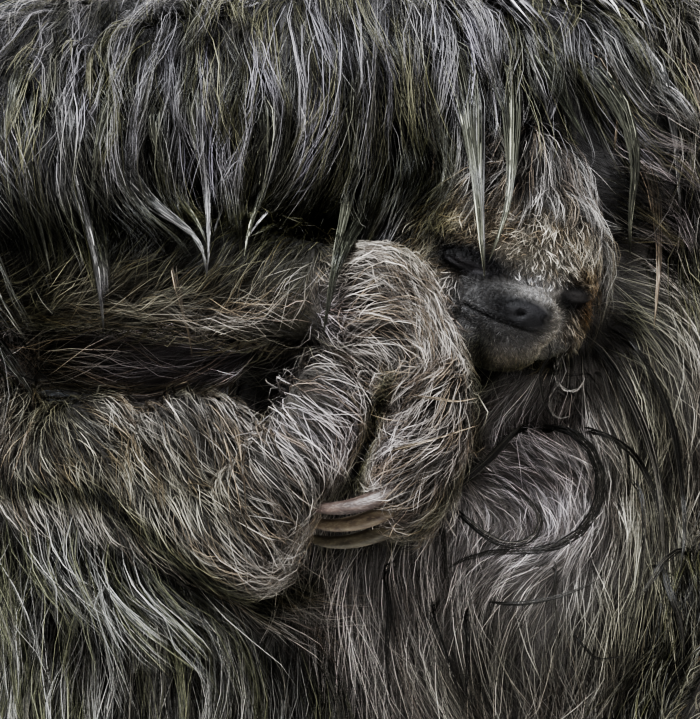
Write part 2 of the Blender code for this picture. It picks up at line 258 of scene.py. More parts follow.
def nearest_part(points):
    """The number of the part whose flesh is nearest, for many points."""
    start, run = tube_table[:, 1:4], tube_table[:, 4:7]
    away = points[:, None] - start
    share = np.clip((away * run).sum(2) / (run**2).sum(1), 0, 1)
    length = np.sqrt(((away - share[..., None] * run) ** 2).sum(2)) + 1e-9
    tube_gap = length - tube_table[:, 7] - share * tube_table[:, 8]
    local = np.einsum("nbi,bij->nbj", points[:, None] - ball_centre, ball_axes)
    first = np.sqrt(((local / ball_radii) ** 2).sum(2)) + 1e-9
    second = np.sqrt(((local / ball_radii**2) ** 2).sum(2)) + 1e-9
    ball_gap = first * (first - 1) / second
    return row_part[np.concatenate([tube_gap, ball_gap], 1).argmin(1)]


print(len(tube_rows), "tubes and", len(ball_rows), "balls")

# %% [markdown]
# ## One skin
#
# Under the hair an animal has one skin, with no seam where a leg joins the body. Metaballs would melt
# together too, but they swell where they meet. A voxel remesh joins tubes and balls on a fine grid and
# keeps each radius as given, and smoothing rounds the creases. The head is remeshed four times finer,
# shaped, and joined to the body with a Boolean union deep in the neck's hair.


# %% Building flesh
def add_ball(bm, centre, radii, turn):
    matrix = Matrix.Translation(centre) @ turn.to_4x4() @ Matrix.Diagonal((*radii, 1.0))
    bmesh.ops.create_icosphere(bm, subdivisions=4, radius=1.0, matrix=matrix)


def add_tube(bm, start, start_radius, end, end_radius):
    """Two balls and the hull round both."""
    hull = bmesh.new()
    for centre, radius in ((start, start_radius), (end, end_radius)):
        bmesh.ops.create_icosphere(hull, subdivisions=3, radius=radius, matrix=Matrix.Translation(centre))
    found = bmesh.ops.convex_hull(hull, input=hull.verts)
    inner = {item for item in found["geom_interior"] if isinstance(item, bmesh.types.BMVert)}
    bmesh.ops.delete(hull, geom=list(inner), context="VERTS")
    mesh = mesh_from(hull, "stretch")
    bm.from_mesh(mesh)
    bpy.data.meshes.remove(mesh)


def baked(obj):
    """Swaps an object's mesh for what its modifiers make of it."""
    bpy.context.view_layer.update()
    graph = bpy.context.evaluated_depsgraph_get()
    obj.data = bpy.data.meshes.new_from_object(obj.evaluated_get(graph))
    obj.modifiers.clear()


def flesh(name, parts, grid, smoothing):
    """Tubes and balls of some parts, melted together on a grid of this size and smoothed."""
    bm = bmesh.new()
    for part in parts:
        for stretch in stretches(part):
            add_tube(bm, *stretch)
        for ball in BALLS.get(part, []):
            add_ball(bm, *ball, turn_of(part))
    obj = placed(name, mesh_from(bm, name))
    melt = obj.modifiers.new("melt", "REMESH")
    melt.mode, melt.voxel_size = "VOXEL", grid
    soften = obj.modifiers.new("soften", "SMOOTH")
    soften.factor, soften.iterations = 0.5, smoothing
    baked(obj)
    return obj


print("balls, tubes and a remesh make the flesh")

# %% Head skin
HEAD_GRID, BODY_GRID = 0.00085, 0.0034
HEAD_SMOOTHING, BODY_SMOOTHING = 7, 6
LID_HEIGHT, LID_SIDE, NOSE_SIDE = 0.0020, 0.0225, 0.0014
head_axes = np.array([list(line) for line in HEAD_TURN])


def in_head(points):
    """Points in the head's own axes."""
    return (points - np.array(HEAD)) @ head_axes


def lip_height(local):
    """How high the line between the lips runs, from the middle out to the cheeks."""
    return -0.0142 + 2.5 * local[:, 0] ** 2


BALLS["face_details"] = [  # the bare nose, low and high, and the lids
    (on_head(NOSE_SIDE - 0.0010, -0.0380, -0.0084), (0.0116, 0.0064, 0.0054)),
    (on_head(NOSE_SIDE, -0.0350, -0.0044), (0.0100, 0.0068, 0.0054)),
    (on_head(LID_SIDE + 0.0015, -0.0190, LID_HEIGHT), (0.0092, 0.0062, 0.0044)),
    (on_head(-LID_SIDE, -0.0205, LID_HEIGHT), (0.0092, 0.0062, 0.0044)),
]
head = flesh("head_skin", ["head", "face_details"], HEAD_GRID, HEAD_SMOOTHING)
BALLS.pop("face_details")
print("head", len(head.data.vertices), "points")

# %% [markdown]
# Nostrils, the line between the lips, the cleft under the nose and the folds of the lids are grooves.
# Each is a depth by which the points near a spot or a line are drawn in, so they are real shape, as a
# sculpting brush would leave, and not only a bump in the material.

# %% Grooves of the face
spots = read_points(head.data)
local = in_head(spots)
depth = np.zeros(len(spots))
side, front = np.abs(local[:, 0]), (local[:, 1] < -0.015).astype(float)
for sign, apart in ((-1, 0.0044), (1, 0.0080)):  # each nostril, with a rim on its outer side
    hole = (NOSE_SIDE + sign * apart, -0.0430, -0.0088)
    depth += 0.0034 * bump_at(local, hole, (0.0012, 0.0040, 0.0009))
    rim = (NOSE_SIDE + sign * (apart + 0.0024), -0.0420, -0.0102)
    depth += 0.0003 * bump_at(local, rim, (0.0016, 0.0040, 0.0006))
parted = np.clip((0.0125 - local[:, 0]) / 0.0050, 0.25, 1) * (side < 0.020)
depth += 0.0014 * fading(local[:, 2] - lip_height(local), 0.0008) * front * parted
cleft = (local[:, 2] < -0.0115) & (local[:, 2] > -0.0142)
depth += 0.0006 * fading(local[:, 0], 0.0006) * front * cleft
from_lid = side - LID_SIDE
slit = LID_HEIGHT - 0.0014 + 22.0 * from_lid**2
depth += 0.0009 * fading(local[:, 2] - slit, 0.0007) * front * (np.abs(from_lid) < 0.0085)
fold = LID_HEIGHT + 0.0040 - 30.0 * from_lid**2
depth += 0.0003 * fading(local[:, 2] - fold, 0.0006) * front * (np.abs(from_lid) < 0.0090)
spots -= read_points(head.data, "normal") * depth[:, None]
head.data.vertices.foreach_set("co", spots.ravel())
print(f"deepest groove {depth.max() * 1000:.1f} mm")

# %% Body skin, joined to the head
skin = flesh("skin", [part for part in PARTS if part != "head"], BODY_GRID, BODY_SMOOTHING)
join = skin.modifiers.new("with_head", "BOOLEAN")
join.operation, join.solver, join.object = "UNION", "EXACT", head
baked(skin)
bpy.data.objects.remove(head, do_unlink=True)
trim = bmesh.new()
trim.from_mesh(skin.data)
bmesh.ops.triangulate(trim, faces=trim.faces)
trim.to_mesh(skin.data)
trim.free()
skin.data.shade_smooth()
print("skin", len(skin.data.polygons), "triangles")

# %% [markdown]
# An unwrap lays the skin out flat. Smart UV Project cuts it into islands by itself, which is enough where
# hair hides the cuts. Each hair takes the place of its own root on that map, so a picture baked on it
# later holds the right colour for each hair.

# %% Unwrapping the skin
skin.data.uv_layers.new(name="OFBake")
bpy.context.view_layer.objects.active = skin
skin.select_set(True)
bpy.ops.object.mode_set(mode="EDIT")
bpy.ops.mesh.select_all(action="SELECT")
bpy.ops.uv.smart_project(angle_limit=math.radians(66), island_margin=0.002)
bpy.ops.object.mode_set(mode="OBJECT")
skin.select_set(False)

triangle_count = len(skin.data.polygons)
corner_verts = np.empty(triangle_count * 3, int)
skin.data.loops.foreach_get("vertex_index", corner_verts)
corner_verts = corner_verts.reshape(-1, 3)
skin_map = np.empty(triangle_count * 6)
skin.data.uv_layers["OFBake"].data.foreach_get("uv", skin_map)
skin_map = skin_map.reshape(-1, 3, 2)
skin_points, skin_normals = read_points(skin.data), read_points(skin.data, "normal")
corners = skin_points[corner_verts]
edges = corners[:, 1:] - corners[:, :1]
areas = 0.5 * np.linalg.norm(np.cross(edges[:, 0], edges[:, 1]), axis=1)
middles, facing = corners.mean(1), skin_normals[corner_verts].mean(1)
triangle_part = nearest_part(skin_points)[corner_verts[:, 0]]
for number, part in enumerate(PARTS):
    print(f"{part:16s} {areas[triangle_part == number].sum() * 1e4:7.1f} cm2")

# %% [markdown]
# ## Which way the hair lies
#
# Hair follows a comb. In the editor a groom is combed with the mouse. The strokes below do the same as a
# list that can be read: marks of a brush on the front of the animal, each a place (across, up, in
# millimetres) and a direction. At any point the nearest strokes decide.

# %% Brush strokes
STROKES = {  # across, up, and which way: across, up
    "mantle": [
        (-147, 329, -0.1, -1), (-132, 303, 0.05, -1), (-147, 272, 0.25, -1), (-139, 250, 0.25, -1),
        (-132, 284, 0.15, -1), (-128, 267, 0.35, -1), (-120, 248, 0.25, -1), (-144, 259, 0.9, -1),
        (-130, 255, 0.9, -1), (-119, 329, -0.05, -1), (-120, 299, 0, -1), (-115, 284, -0.15, -1),
        (-121, 259, 0, -1), (-112, 240, -0.5, -1), (-111, 278, 0.45, -1), (-101, 265, 1, -0.85),
        (-90, 256, 1, -0.55), (-81, 248, 0.8, -0.8), (-98, 318, 0.05, -1), (-96, 290, 0.15, -1),
        (-90, 269, 0.6, -1), (-81, 259, 0.5, -1), (-79, 307, 0, -1), (-76, 276, 0.05, -1),
        (-74, 252, -0.05, -1), (-59, 318, -0.02, -1), (-60, 288, -0.5, -1), (-67, 272, -0.9, -0.9),
        (-72, 255, -0.4, -1), (-53, 284, -0.1, -1), (-57, 263, -0.4, -1), (-62, 248, -0.15, -1),
        (-40, 326, 0.05, -1), (-40, 291, -0.2, -1), (-46, 270, -0.75, -1), (-54, 259, -1, -0.8),
        (-27, 299, -0.1, -1), (-27, 278, -0.4, -1), (-35, 266, -1, -0.75), (-45, 256, -1, -0.35),
        (-55, 252, -1, -0.3), (-24, 262, -1, -0.5), (-24, 318, 0.3, -1), (-3, 322, 0.4, -1),
        (5, 299, 0.05, -1), (-6, 284, -0.4, -1), (-14, 269, -0.8, -1), (-22, 254, -0.4, -1),
        (-3, 265, -0.8, -0.9), (22, 318, 0.15, -1), (24, 280, 0.05, -1), (9, 278, 0, -1),
        (39, 318, 0.1, -1), (40, 280, 0, -1), (58, 329, 0.5, -1), (73, 318, 0.45, -1),
        (81, 295, 0.5, -1), (103, 329, 0.5, -1), (94, 300, 1, -0.25), (108, 298, 1, -0.4),
        (88, 284, 1, -0.1), (99, 283, 1, -0.3), (88, 269, 1, -0.3), (102, 265, 1, -0.45),
        (91, 252, 1, -0.05), (107, 250, 1, -0.6), (107, 231, 0.9, -0.8), (-155, 341, -0.1, -1),
    ],
    "forearm": [
        (-41, 246, -1, -0.35), (-79, 244, -1, -0.55), (-109, 238, -1, -0.9), (-132, 215, -1, -0.9),
        (-151, 196, -0.8, -1), (-49, 231, -1, -0.3), (-79, 227, -1, -0.35), (-106, 217, -1, -0.2),
        (-60, 214, -1, -0.1), (-26, 246, 0.8, 0.6), (-11, 250, 1, 0.1), (-3, 238, 0.8, -0.5),
        (-14, 231, 1, 0.5), (-22, 219, 1, 0.3), (-3, 223, 1, -0.3), (8, 244, 1, -0.6),
        (18, 227, 0.4, -1), (12, 214, 0.2, -1), (-3, 211, 0.6, -0.4), (-3, 198, -1, -0.15),
        (18, 198, -0.7, -0.8), (5, 177, -1, -0.25), (22, 177, -0.5, -1), (12, 158, -0.5, -1),
        (-3, 151, -0.8, -0.5), (-14, 155, -0.9, -0.1),
    ],
    "shin": [
        (-147, 181, -0.6, -1), (-136, 170, 0.6, -1), (-117, 183, 1, -0.45), (-113, 162, 0.5, -1),
        (-94, 177, 0.7, -1), (-90, 151, 0.5, -1), (-71, 162, 0.6, -1), (-64, 136, 0.6, -1),
        (-79, 120, 0.9, -0.7), (-60, 113, 1, -0.05), (-43, 117, 1, 0.5), (-52, 177, 0.9, -0.7),
        (-41, 196, 1, -0.25), (-22, 202, 1, -0.5), (-9, 189, 0.2, -1), (-22, 181, 0.8, -0.8),
        (-14, 170, -0.2, -1), (-30, 158, 0.1, -1), (-41, 158, 0.8, -0.7), (-41, 136, 0.5, -1),
    ],
    "thigh": [
        (-147, 136, -0.25, -1), (-117, 136, 0.05, -1), (-79, 113, 0.1, -1), (-41, 98, 0.25, -1),
        (-132, 82, -0.1, -1), (-94, 75, 0.05, -1), (-56, 75, 0.15, -1), (-18, 98, 0.1, -1),
    ],
    "belly": [
        (50, 191, -0.6, -0.8), (35, 181, -0.9, -0.5), (22, 168, -0.8, -0.7), (27, 164, 1, 0.25),
        (43, 174, 1, -0), (58, 172, 1, -0.4), (69, 162, 0.45, -1), (73, 147, -0.1, -1),
        (65, 134, -0.7, -0.8), (50, 128, -1, -0.3), (35, 134, -0.8, -0.6), (24, 143, -0.3, -1),
        (52, 159, 0.85, -0.6), (60, 151, 0.35, -1), (61, 141, -0.25, -1), (53, 135, -0.8, -0.5),
        (37, 161, 1, -0.1), (35, 151, 1, -0.45), (45, 143, 0.7, -0.8), (41, 136, -0.8, -0.4),
        (81, 189, 0.5, -1), (88, 162, 0.25, -1), (92, 128, 0, -1), (73, 113, -0.05, -1),
        (58, 94, 0, -1), (27, 105, 0.1, -1), (8, 120, -0.15, -1), (-3, 94, 0.1, -1),
        (-22, 79, 0.15, -1), (35, 75, 0, -1), (103, 189, 0.3, -1), (107, 113, 0, -1),
        (65, 196, -0.3, -1), (88, 210, 0.7, -1), (90, 231, 1, 0.2), (107, 227, 1, -0.6),
        (86, 220, 1, -0.2), (102, 212, 0.8, -0.8), (-117, 200, -1, -0.15), (-79, 200, -1, -0.05),
    ],
    "head": [
        (43, 293, -0.3, -1), (24, 288, -0.7, -0.8), (5, 280, -0.9, -0.6), (58, 284, 0.6, -1),
        (73, 269, 0.6, -1), (81, 250, 0.15, -1), (43, 276, -0.6, -0.9), (33, 265, -0.7, -0.8),
        (24, 259, -1, -0.5), (12, 254, -1, -0.25), (5, 248, -0.9, -0.6), (35, 252, -1, -0.35),
        (46, 255, -0.9, -0.5), (27, 246, -0.9, -0.3), (43, 244, -0.8, -0.5), (54, 263, 0.1, -1),
        (64, 259, 0.6, -0.9), (69, 250, 0.5, -1), (58, 248, -0.1, -1), (62, 240, 0.2, -1),
        (73, 236, 0.1, -1), (71, 227, -0.3, -1), (50, 236, -0.2, -1), (41, 234, -0.5, -1),
        (33, 231, -0.6, -0.7), (27, 212, -0.2, -1), (43, 208, 0, -1), (58, 212, 0.2, -1),
    ],
    "muzzle": [
        (50, 236, 0.2, 1), (41, 234, -0.3, 1), (31, 232, -1, 0.4), (24, 223, -1, -0.2),
        (58, 227, 0.9, 0.5), (62, 217, 0.9, -0.4), (54, 210, 0.5, -0.9), (43, 207, 0, -1),
        (27, 212, -0.5, -0.9), (46, 221, 0, 1),
    ],
    "down": [(-22, 204, 0, -1)],
    "flank": [
        (-144, 200, -1, -0.5), (-125, 208, -1, -0.1), (-98, 202, -1, -0.05), (-68, 200, -1, -0),
        (-147, 227, -0.5, -1), (-132, 246, -0.4, -1), (-98, 246, -0.8, -0.6),
    ],
    "left_side": [(92, 227, 0.3, -1), (111, 151, 0.1, -1), (73, 75, -0.3, -1)],
}
print(sum(len(strokes) for strokes in STROKES.values()), "strokes for", len(STROKES), "kinds of coat")

# %% [markdown]
# Wet hair runs together in pointed locks. The large ones are drawn as paths, because everyone sees where
# they hang, and the small ones come about by themselves further on.

# %% Drawn locks
LOCKS = [  # tint, reach to the side (mm), hairs, height over the skin (mm), and the path
    ("algae", 2.8, 56, 10, [(-144, 318), (-146, 291), (-143, 265), (-139, 250), (-136, 233)]),
    ("wet", 4.4, 80, 14, [(-133, 318), (-131, 291), (-127, 269), (-120, 250), (-117, 231), (-116, 212)]),
    ("algae", 2.4, 40, 12, [(-112, 318), (-114, 299), (-119, 280), (-121, 259), (-119, 241)]),
    ("wet", 4.2, 76, 15, [(-114, 295), (-109, 276), (-98, 263), (-85, 255), (-77, 248), (-76, 235)]),
    ("algae", 3.2, 50, 14, [(-98, 307), (-95, 284), (-88, 267), (-79, 256), (-75, 245)]),
    ("pale", 3.2, 44, 15, [(-79, 314), (-77, 288), (-76, 263), (-75, 246), (-76, 236)]),
    ("algae", 2.6, 36, 13, [(-83, 318), (-81, 291), (-77, 269), (-74, 252)]),
    ("wet", 2.4, 34, 12, [(-58, 295), (-64, 278), (-70, 265), (-74, 250)]),
    ("algae", 3.6, 60, 13, [(-54, 310), (-53, 288), (-55, 269), (-60, 255), (-62, 241)]),
    ("pale", 2.8, 40, 13, [(-36, 307), (-39, 288), (-46, 270), (-55, 259), (-62, 248)]),
    ("algae", 2.8, 44, 12, [(-24, 295), (-26, 278), (-34, 266), (-49, 256), (-61, 250)]),
    ("dun", 1.6, 16, 8, [(-92, 246), (-87, 227), (-83, 212), (-82, 202)]),
    ("green", 5.4, 84, 16, [(-6, 299), (-8, 280), (-18, 259), (-27, 241), (-32, 213)]),
    ("algae", 4.6, 54, 14, [(-30, 318), (-22, 291), (-21, 269), (-27, 246), (-32, 215)]),
    ("dun", 2.4, 26, 11, [(4, 318), (9, 299), (11, 284), (9, 272)]),
    ("algae", 6.2, 110, 18, [(17, 337), (23, 310), (25, 284), (27, 257), (29, 234)]),
    ("wet", 4.6, 64, 18, [(24, 326), (26, 299), (27, 272), (29, 237)]),
    ("algae", 4.6, 76, 18, [(37, 329), (40, 307), (40, 284), (38, 261), (30, 240)]),
    ("green", 4.6, 80, 17, [(52, 329), (56, 314), (62, 301), (70, 287)]),
    ("algae", 4.2, 64, 18, [(67, 326), (78, 310), (86, 295), (89, 278), (86, 260), (87, 244)]),
    ("dun", 1.4, 18, 9, [(-147, 215), (-146, 204), (-145, 194), (-144, 184)]),
    ("algae", 2.6, 34, 11, [(-144, 333), (-150, 307), (-153, 280), (-150, 253)]),
    ("wet", 3.0, 40, 11, [(-88, 322), (-87, 295), (-87, 272), (-88, 253)]),
    ("wet", 3.0, 40, 11, [(-14, 318), (-12, 291), (-21, 269), (-36, 253)]),
    ("algae", 2.4, 30, 11, [(8, 318), (14, 299), (15, 280), (12, 266)]),
    ("wet", 2.6, 36, 11, [(46, 339), (49, 322), (53, 305), (56, 292)]),
    ("dun", 2.6, 36, 11, [(73, 335), (79, 318), (82, 301), (80, 284)]),
    ("wet", 3.0, 56, 11, [(89, 337), (99, 318), (105, 291), (107, 260)]),
    ("dun", 3.0, 40, 11, [(107, 333), (116, 307), (119, 276), (117, 242)]),
    ("dun", 3.0, 40, 11, [(88, 295), (97, 269), (99, 242), (96, 215)]),
    ("wet", 3.4, 56, 11, [(-163, 326), (-166, 303), (-166, 272), (-162, 246)]),
    ("light", 1.3, 16, 13, [
        (75, 209), (67, 211), (60, 207), (56, 200), (59, 192), (65, 190), (70, 195), (68, 202),
    ]),
    ("light", 1.1, 14, 13, [(69, 199), (62, 196), (55, 190), (55, 183), (60, 180), (65, 184)]),
    ("dun", 0.6, 7, 10, [(-144, 187), (-146, 174), (-150, 162), (-153, 155)]),
    ("dun", 0.7, 8, 10, [(-67, 190), (-63, 170), (-61, 151), (-61, 131)]),
    ("dun", 0.6, 7, 10, [(-79, 191), (-69, 174), (-65, 158), (-62, 143)]),
    ("dun", 0.6, 6, 10, [(-55, 190), (-52, 177), (-46, 162), (-42, 148)]),
    ("dun", 0.6, 6, 10, [(-24, 196), (-21, 189), (-14, 179), (-12, 171)]),
    ("dun", 0.7, 8, 12, [(-3, 189), (8, 190), (18, 188), (27, 190)]),
    ("dun", 0.7, 8, 12, [(-16, 169), (-3, 171), (12, 175), (28, 180)]),
]
print(len(LOCKS), "locks of", sum(row[2] for row in LOCKS), "hairs")

# %% [markdown]
# Thin dark hairs lie loose over the paler wool of the belly, in arcs and one large curl.

# %% Drawn wisps
WISPS = [  # reach to the side (mm), hairs, height over the skin (mm), and the path
    (1.9, 34, 12, [
        (43, 179), (53, 180), (62, 179), (70, 174), (75, 165), (77, 155),
        (73, 143), (64, 133), (52, 129), (35, 131), (21, 129), (15, 123),
    ]),
    (1.3, 16, 12, [
        (12, 152), (24, 141), (35, 132), (43, 131), (51, 135), (54, 143), (49, 150), (40, 154), (28, 158),
    ]),
    (1.2, 14, 12, [(8, 145), (14, 139), (15, 126), (16, 115)]),
    (1.4, 20, 12, [(46, 182), (40, 174), (30, 163), (18, 154), (5, 145), (-3, 139)]),
    (1.3, 14, 12, [(67, 179), (79, 174), (89, 167), (96, 153), (99, 130)]),
    (1.6, 24, 12, [(75, 212), (83, 196), (91, 181), (97, 162), (99, 143), (99, 126)]),
    (1.5, 20, 12, [(82, 219), (94, 202), (103, 181), (107, 158), (108, 134), (104, 117)]),
    (0.9, 9, 12, [(28, 111), (43, 110), (59, 113), (69, 117), (75, 120)]),
    (1.2, 14, 12, [(109, 133), (99, 126), (94, 118), (88, 111)]),
    (1.2, 14, 12, [(99, 128), (100, 118), (105, 105), (107, 90)]),
    (0.5, 4, 11, [(75, 202), (78, 189), (84, 177), (88, 168)]),
    (0.7, 6, 10, [(90, 162), (92, 143), (91, 124), (88, 109), (87, 94)]),
    (0.8, 8, 10, [(8, 113), (12, 98), (18, 82), (22, 68)]),
    (0.7, 7, 10, [(21, 109), (24, 94), (23, 79), (21, 63)]),
    (0.6, 5, 10, [(58, 128), (56, 113), (58, 94), (55, 75)]),
    (0.5, 4, 10, [(64, 98), (73, 88), (88, 90)]),
    (0.8, 8, 10, [(-11, 128), (-6, 109), (-8, 90), (-6, 69)]),
    (0.6, 4, 12, [(58, 210), (50, 199), (53, 185), (60, 178)]),
    (0.6, 3, 12, [(73, 199), (64, 198), (52, 199), (43, 198)]),
    (0.5, 3, 12, [(17, 162), (27, 163), (39, 170), (43, 178)]),
]
print(len(WISPS), "wisps")

# %% [markdown]
# A wet coat is not one colour. Soft lines over it paint shade into the hair along the folds between the
# limbs, under the mantle's overhang and between its locks, where the dark olive streaks are partly its own
# colour.
# Lines with a strength below 0 paint light.

# %% Painted shade and light
SHADE_AND_LIGHT_LINES = [  # painted shade along lines, or painted light where less than 0: from, to, reach, strength
    (-83, 217, -30, 222, 6.1, -0.6), (-117, 341, -115, 295, 1.9, 0.75), (-134, 341, -136, 295, 2.3, 0.7),
    (-84, 341, -83, 299, 2.7, 0.7), (-97, 303, -95, 269, 2.7, 0.65), (-54, 299, -57, 265, 2.7, 0.65),
    (-102, 329, -109, 295, 1.9, 0.5), (-22, 310, -21, 272, 2.3, 0.7), (-44, 295, -47, 269, 2.3, 0.6),
    (-128, 284, -118, 246, 3.0, 0.6), (-64, 322, -65, 291, 1.9, 0.5), (5, 326, 12, 291, 1.9, 0.5),
    (43, 333, 50, 299, 2.3, 0.6), (64, 318, 74, 288, 2.7, 0.6), (-77, 318, -74, 253, 1.1, -0.7),
    (-36, 299, -41, 265, 1.1, -0.7), (-86, 284, -79, 259, 1.5, -0.7), (-121, 314, -123, 288, 1.9, -0.3),
    (24, 333, 27, 284, 1.9, -0.5), (-151, 250, -136, 189, 10.6, 0.6), (50, 155, 50, 151, 22.8, -0.35),
    (97, 299, 100, 246, 9.9, -0.2), (88, 318, 111, 294, 5.3, 0.38), (94, 215, 100, 75, 15.2, 0.52),
    (-132, 318, -3, 310, 17.1, -0.22), (27, 79, 81, 98, 17.5, 0.34), (6, 278, 9, 254, 8.4, 0.75),
    (-41, 185, -20, 174, 12.9, -0.42), (-140, 170, -79, 151, 12.9, 0.36), (-132, 256, -33, 256, 8.4, 0.55),
    (-155, 154, -117, 152, 3.0, 0.85), (-117, 152, -79, 122, 3.0, 0.85), (-79, 122, -55, 107, 3.0, 0.85),
    (-55, 107, -36, 114, 3.0, 0.8), (-8, 196, -21, 155, 2.3, 0.9), (-21, 155, -30, 149, 2.7, 0.6),
    (-132, 209, -41, 207, 4.6, 0.25), (-147, 251, -37, 250, 6.8, 0.7), (-109, 246, -71, 238, 7.6, 0.45),
    (-30, 259, 1, 272, 6.1, 0.7), (1, 272, 12, 284, 6.1, 0.6), (27, 210, 30, 196, 3.4, 0.85),
    (27, 196, 27, 170, 2.7, 0.6), (24, 162, 5, 139, 3.0, 0.6), (85, 272, 88, 215, 4.6, 0.6),
    (73, 215, 88, 219, 3.4, 0.7), (58, 201, 81, 210, 3.0, 0.75), (-132, 192, -60, 193, 1.9, 0.5),
    (-60, 204, -55, 185, 3.0, 0.6), (-33, 130, -3, 133, 2.7, 0.75), (35, 199, 58, 202, 2.7, 0.7),
]
print(len(SHADE_AND_LIGHT_LINES), "soft lines")

# %% [markdown]
# Two questions come up at every step of a hair. Which way does the brush go here? All strokes answer, the
# nearest counting most. How far is the skin? A KD tree finds the nearest point of it.


# %% Asking the brush and the skin
def brushed(points, strokes, reach=0.010):
    """The direction of the nearest strokes, at many points."""
    table = np.array(strokes, float)
    ways = normalised(table[:, 2:])
    apart = ((points[:, None, ::2] - table[:, :2] / 1000) ** 2).sum(2)
    weight = 1 / (apart + reach**2) ** 2
    flat = (weight[..., None] * ways).sum(1) / weight.sum(1)[:, None]
    return np.insert(flat, 1, 0.0, axis=1)


def wander(points, wavelength, seed):
    """A smooth drift in three directions: a few sine waves that cross the body."""
    waves = np.random.default_rng(seed)
    total = np.zeros((len(points), 3))
    for _ in range(6):
        phase = points @ waves.normal(0, 4.0 / wavelength, 3) + waves.uniform(0, FULL_TURN)
        total += np.sin(phase)[:, None] * waves.normal(0, 0.6, 3)
    return total


skin_tree = KDTree(len(skin_points))
for index, point in enumerate(skin_points):
    skin_tree.insert(point, index)
skin_tree.balance()


def to_skin(points):
    """The height of many points over the skin, and the way out of it."""
    found = np.array([skin_tree.find(point)[1] for point in points.tolist()])
    out = skin_normals[found]
    return ((points - skin_points[found]) * out).sum(1), out


print(len(skin_points), "points of skin to ask")

# %% [markdown]
# ## Where each coat grows
#
# The parts give most of the borders. A few more lie where the coat changes on one part: the mantle ends
# above the flank, the woolly shin turns into the long-haired thigh, and the face has a hairline and a
# muzzle. The side of the body that the camera sees gets fine hair, the rest thicker and fewer hairs.


# %% Coats on the skin
SHOULDER, FLANK_TOP, ELBOW, SLEEVE_END = 0.298, 0.266, -0.160, -0.036
SHIN_EDGE = ((-0.155, -0.117, -0.079, -0.056), (0.152, 0.149, 0.119, 0.098))  # across, and up
PARTING = 0.035  # how far back the hair parts along the back


def part_mask(*names):
    """Which triangles belong to these parts."""
    return np.isin(triangle_part, [PARTS.index(name) for name in names])


across, away, height = middles.T
ahead = facing[:, 1]
high = part_mask("chest") & (height > SHOULDER)
trunk = part_mask("belly", "chest") & ~high
under_shin = height < np.interp(across, *SHIN_EDGE)
own_axes = in_head(middles)
face_zone = part_mask("head") & (own_axes[:, 1] < 0.000) & (own_axes[:, 2] < 0.030)
snout = (own_axes[:, 1] < -0.021) & (own_axes[:, 2] < 0.002) & (np.abs(own_axes[:, 0]) < 0.023)
chin = (own_axes[:, 1] < -0.010) & (own_axes[:, 2] < -0.016)
muzzle_zone = part_mask("head") & (snout | chin)
flank = part_mask("upper_arm_right") & (height < FLANK_TOP) & (away > -0.052) & (across > ELBOW)
COATS = {
    "mantle": (part_mask("upper_arm_right", "neck") & ~flank) | high,
    "flank": flank,
    "sleeve": part_mask("forearm_right") & (across < SLEEVE_END),
    "forearm": (part_mask("forearm_right") & (across >= SLEEVE_END)) | part_mask("hand_right"),
    "shin": part_mask("foot_right") | (part_mask("shin_right", "thigh_right") & ~under_shin & (away < 0.0)),
    "thigh": part_mask("thigh_right", "shin_right") & (under_shin | (away >= 0.0)),
    "belly": trunk & (ahead < 0.25),
    "crown": part_mask("head") & ~face_zone,
    "face": face_zone & ~muzzle_zone,
    "muzzle": muzzle_zone,
    "left_arm": part_mask("upper_arm_left"),
    "left_leg": part_mask("thigh_left"),
    "left_limbs": part_mask("forearm_left", "hand_left", "shin_left", "foot_left"),
    "back": (trunk & (ahead >= 0.25)) | part_mask("tail"),
}
triangle_kind = np.zeros(triangle_count, int)
for number, mask in enumerate(COATS.values()):
    triangle_kind[mask] = number
vert_kind = np.zeros(len(skin_points), int)
vert_kind[corner_verts.ravel()] = np.repeat(triangle_kind, 3)
vert_map = np.zeros((len(skin_points), 2))
vert_map[corner_verts.ravel()] = skin_map.reshape(-1, 2)
print(len(COATS), "coats")

# %% [markdown]
# Skin that faces the camera's side gets the fine hair. A ray from each such triangle towards the camera
# finds those with a limb or the head in front of them, and there fewer hairs are enough.

# %% What the camera sees
VIEW_SIDES, VIEW_ENDS = (-0.168, 0.124), (0.055, 0.352)  # the edges of the view, with a margin
TOWARDS, COVERED_DENSITY = 0.35, 0.22
skin_body = bmesh.new()
skin_body.from_mesh(skin.data)
skin_rays = BVHTree.FromBMesh(skin_body)
skin_body.free()
framed = (across > VIEW_SIDES[0]) & (across < VIEW_SIDES[1])
framed &= (height > VIEW_ENDS[0]) & (height < VIEW_ENDS[1])
near_view = framed & (ahead < TOWARDS)
covered = np.zeros(triangle_count, bool)
for index in np.nonzero(near_view)[0]:
    start = middles[index] + facing[index] * 0.004
    covered[index] = skin_rays.ray_cast(start, (0, -1, 0))[0] is not None
near_view &= ~(covered & (across < -0.120))
denser = 1 + 1.6 * fading(away - PARTING, 0.016) * (facing[:, 2] > 0.4)  # or the parting shows bare skin
near_chance = np.where(near_view, np.where(covered, COVERED_DENSITY, 1.0), 0.0) * denser
far_chance = np.where(near_view, 0.0, 1.0) * denser
print("skin towards the camera", round(areas[near_view & ~covered].sum() * 1e4), "cm2")

# %% [markdown]
# ## Colours of the animal
#
# Every marking is worked out once, from a place on the skin. Skin and hair both ask it, so they always
# agree: the dark stripes beside the eyes, the rusty patch on the left cheek, the dark nose and lips. An
# image painted on the skin would do as well, but a list of soft patches needs no file.

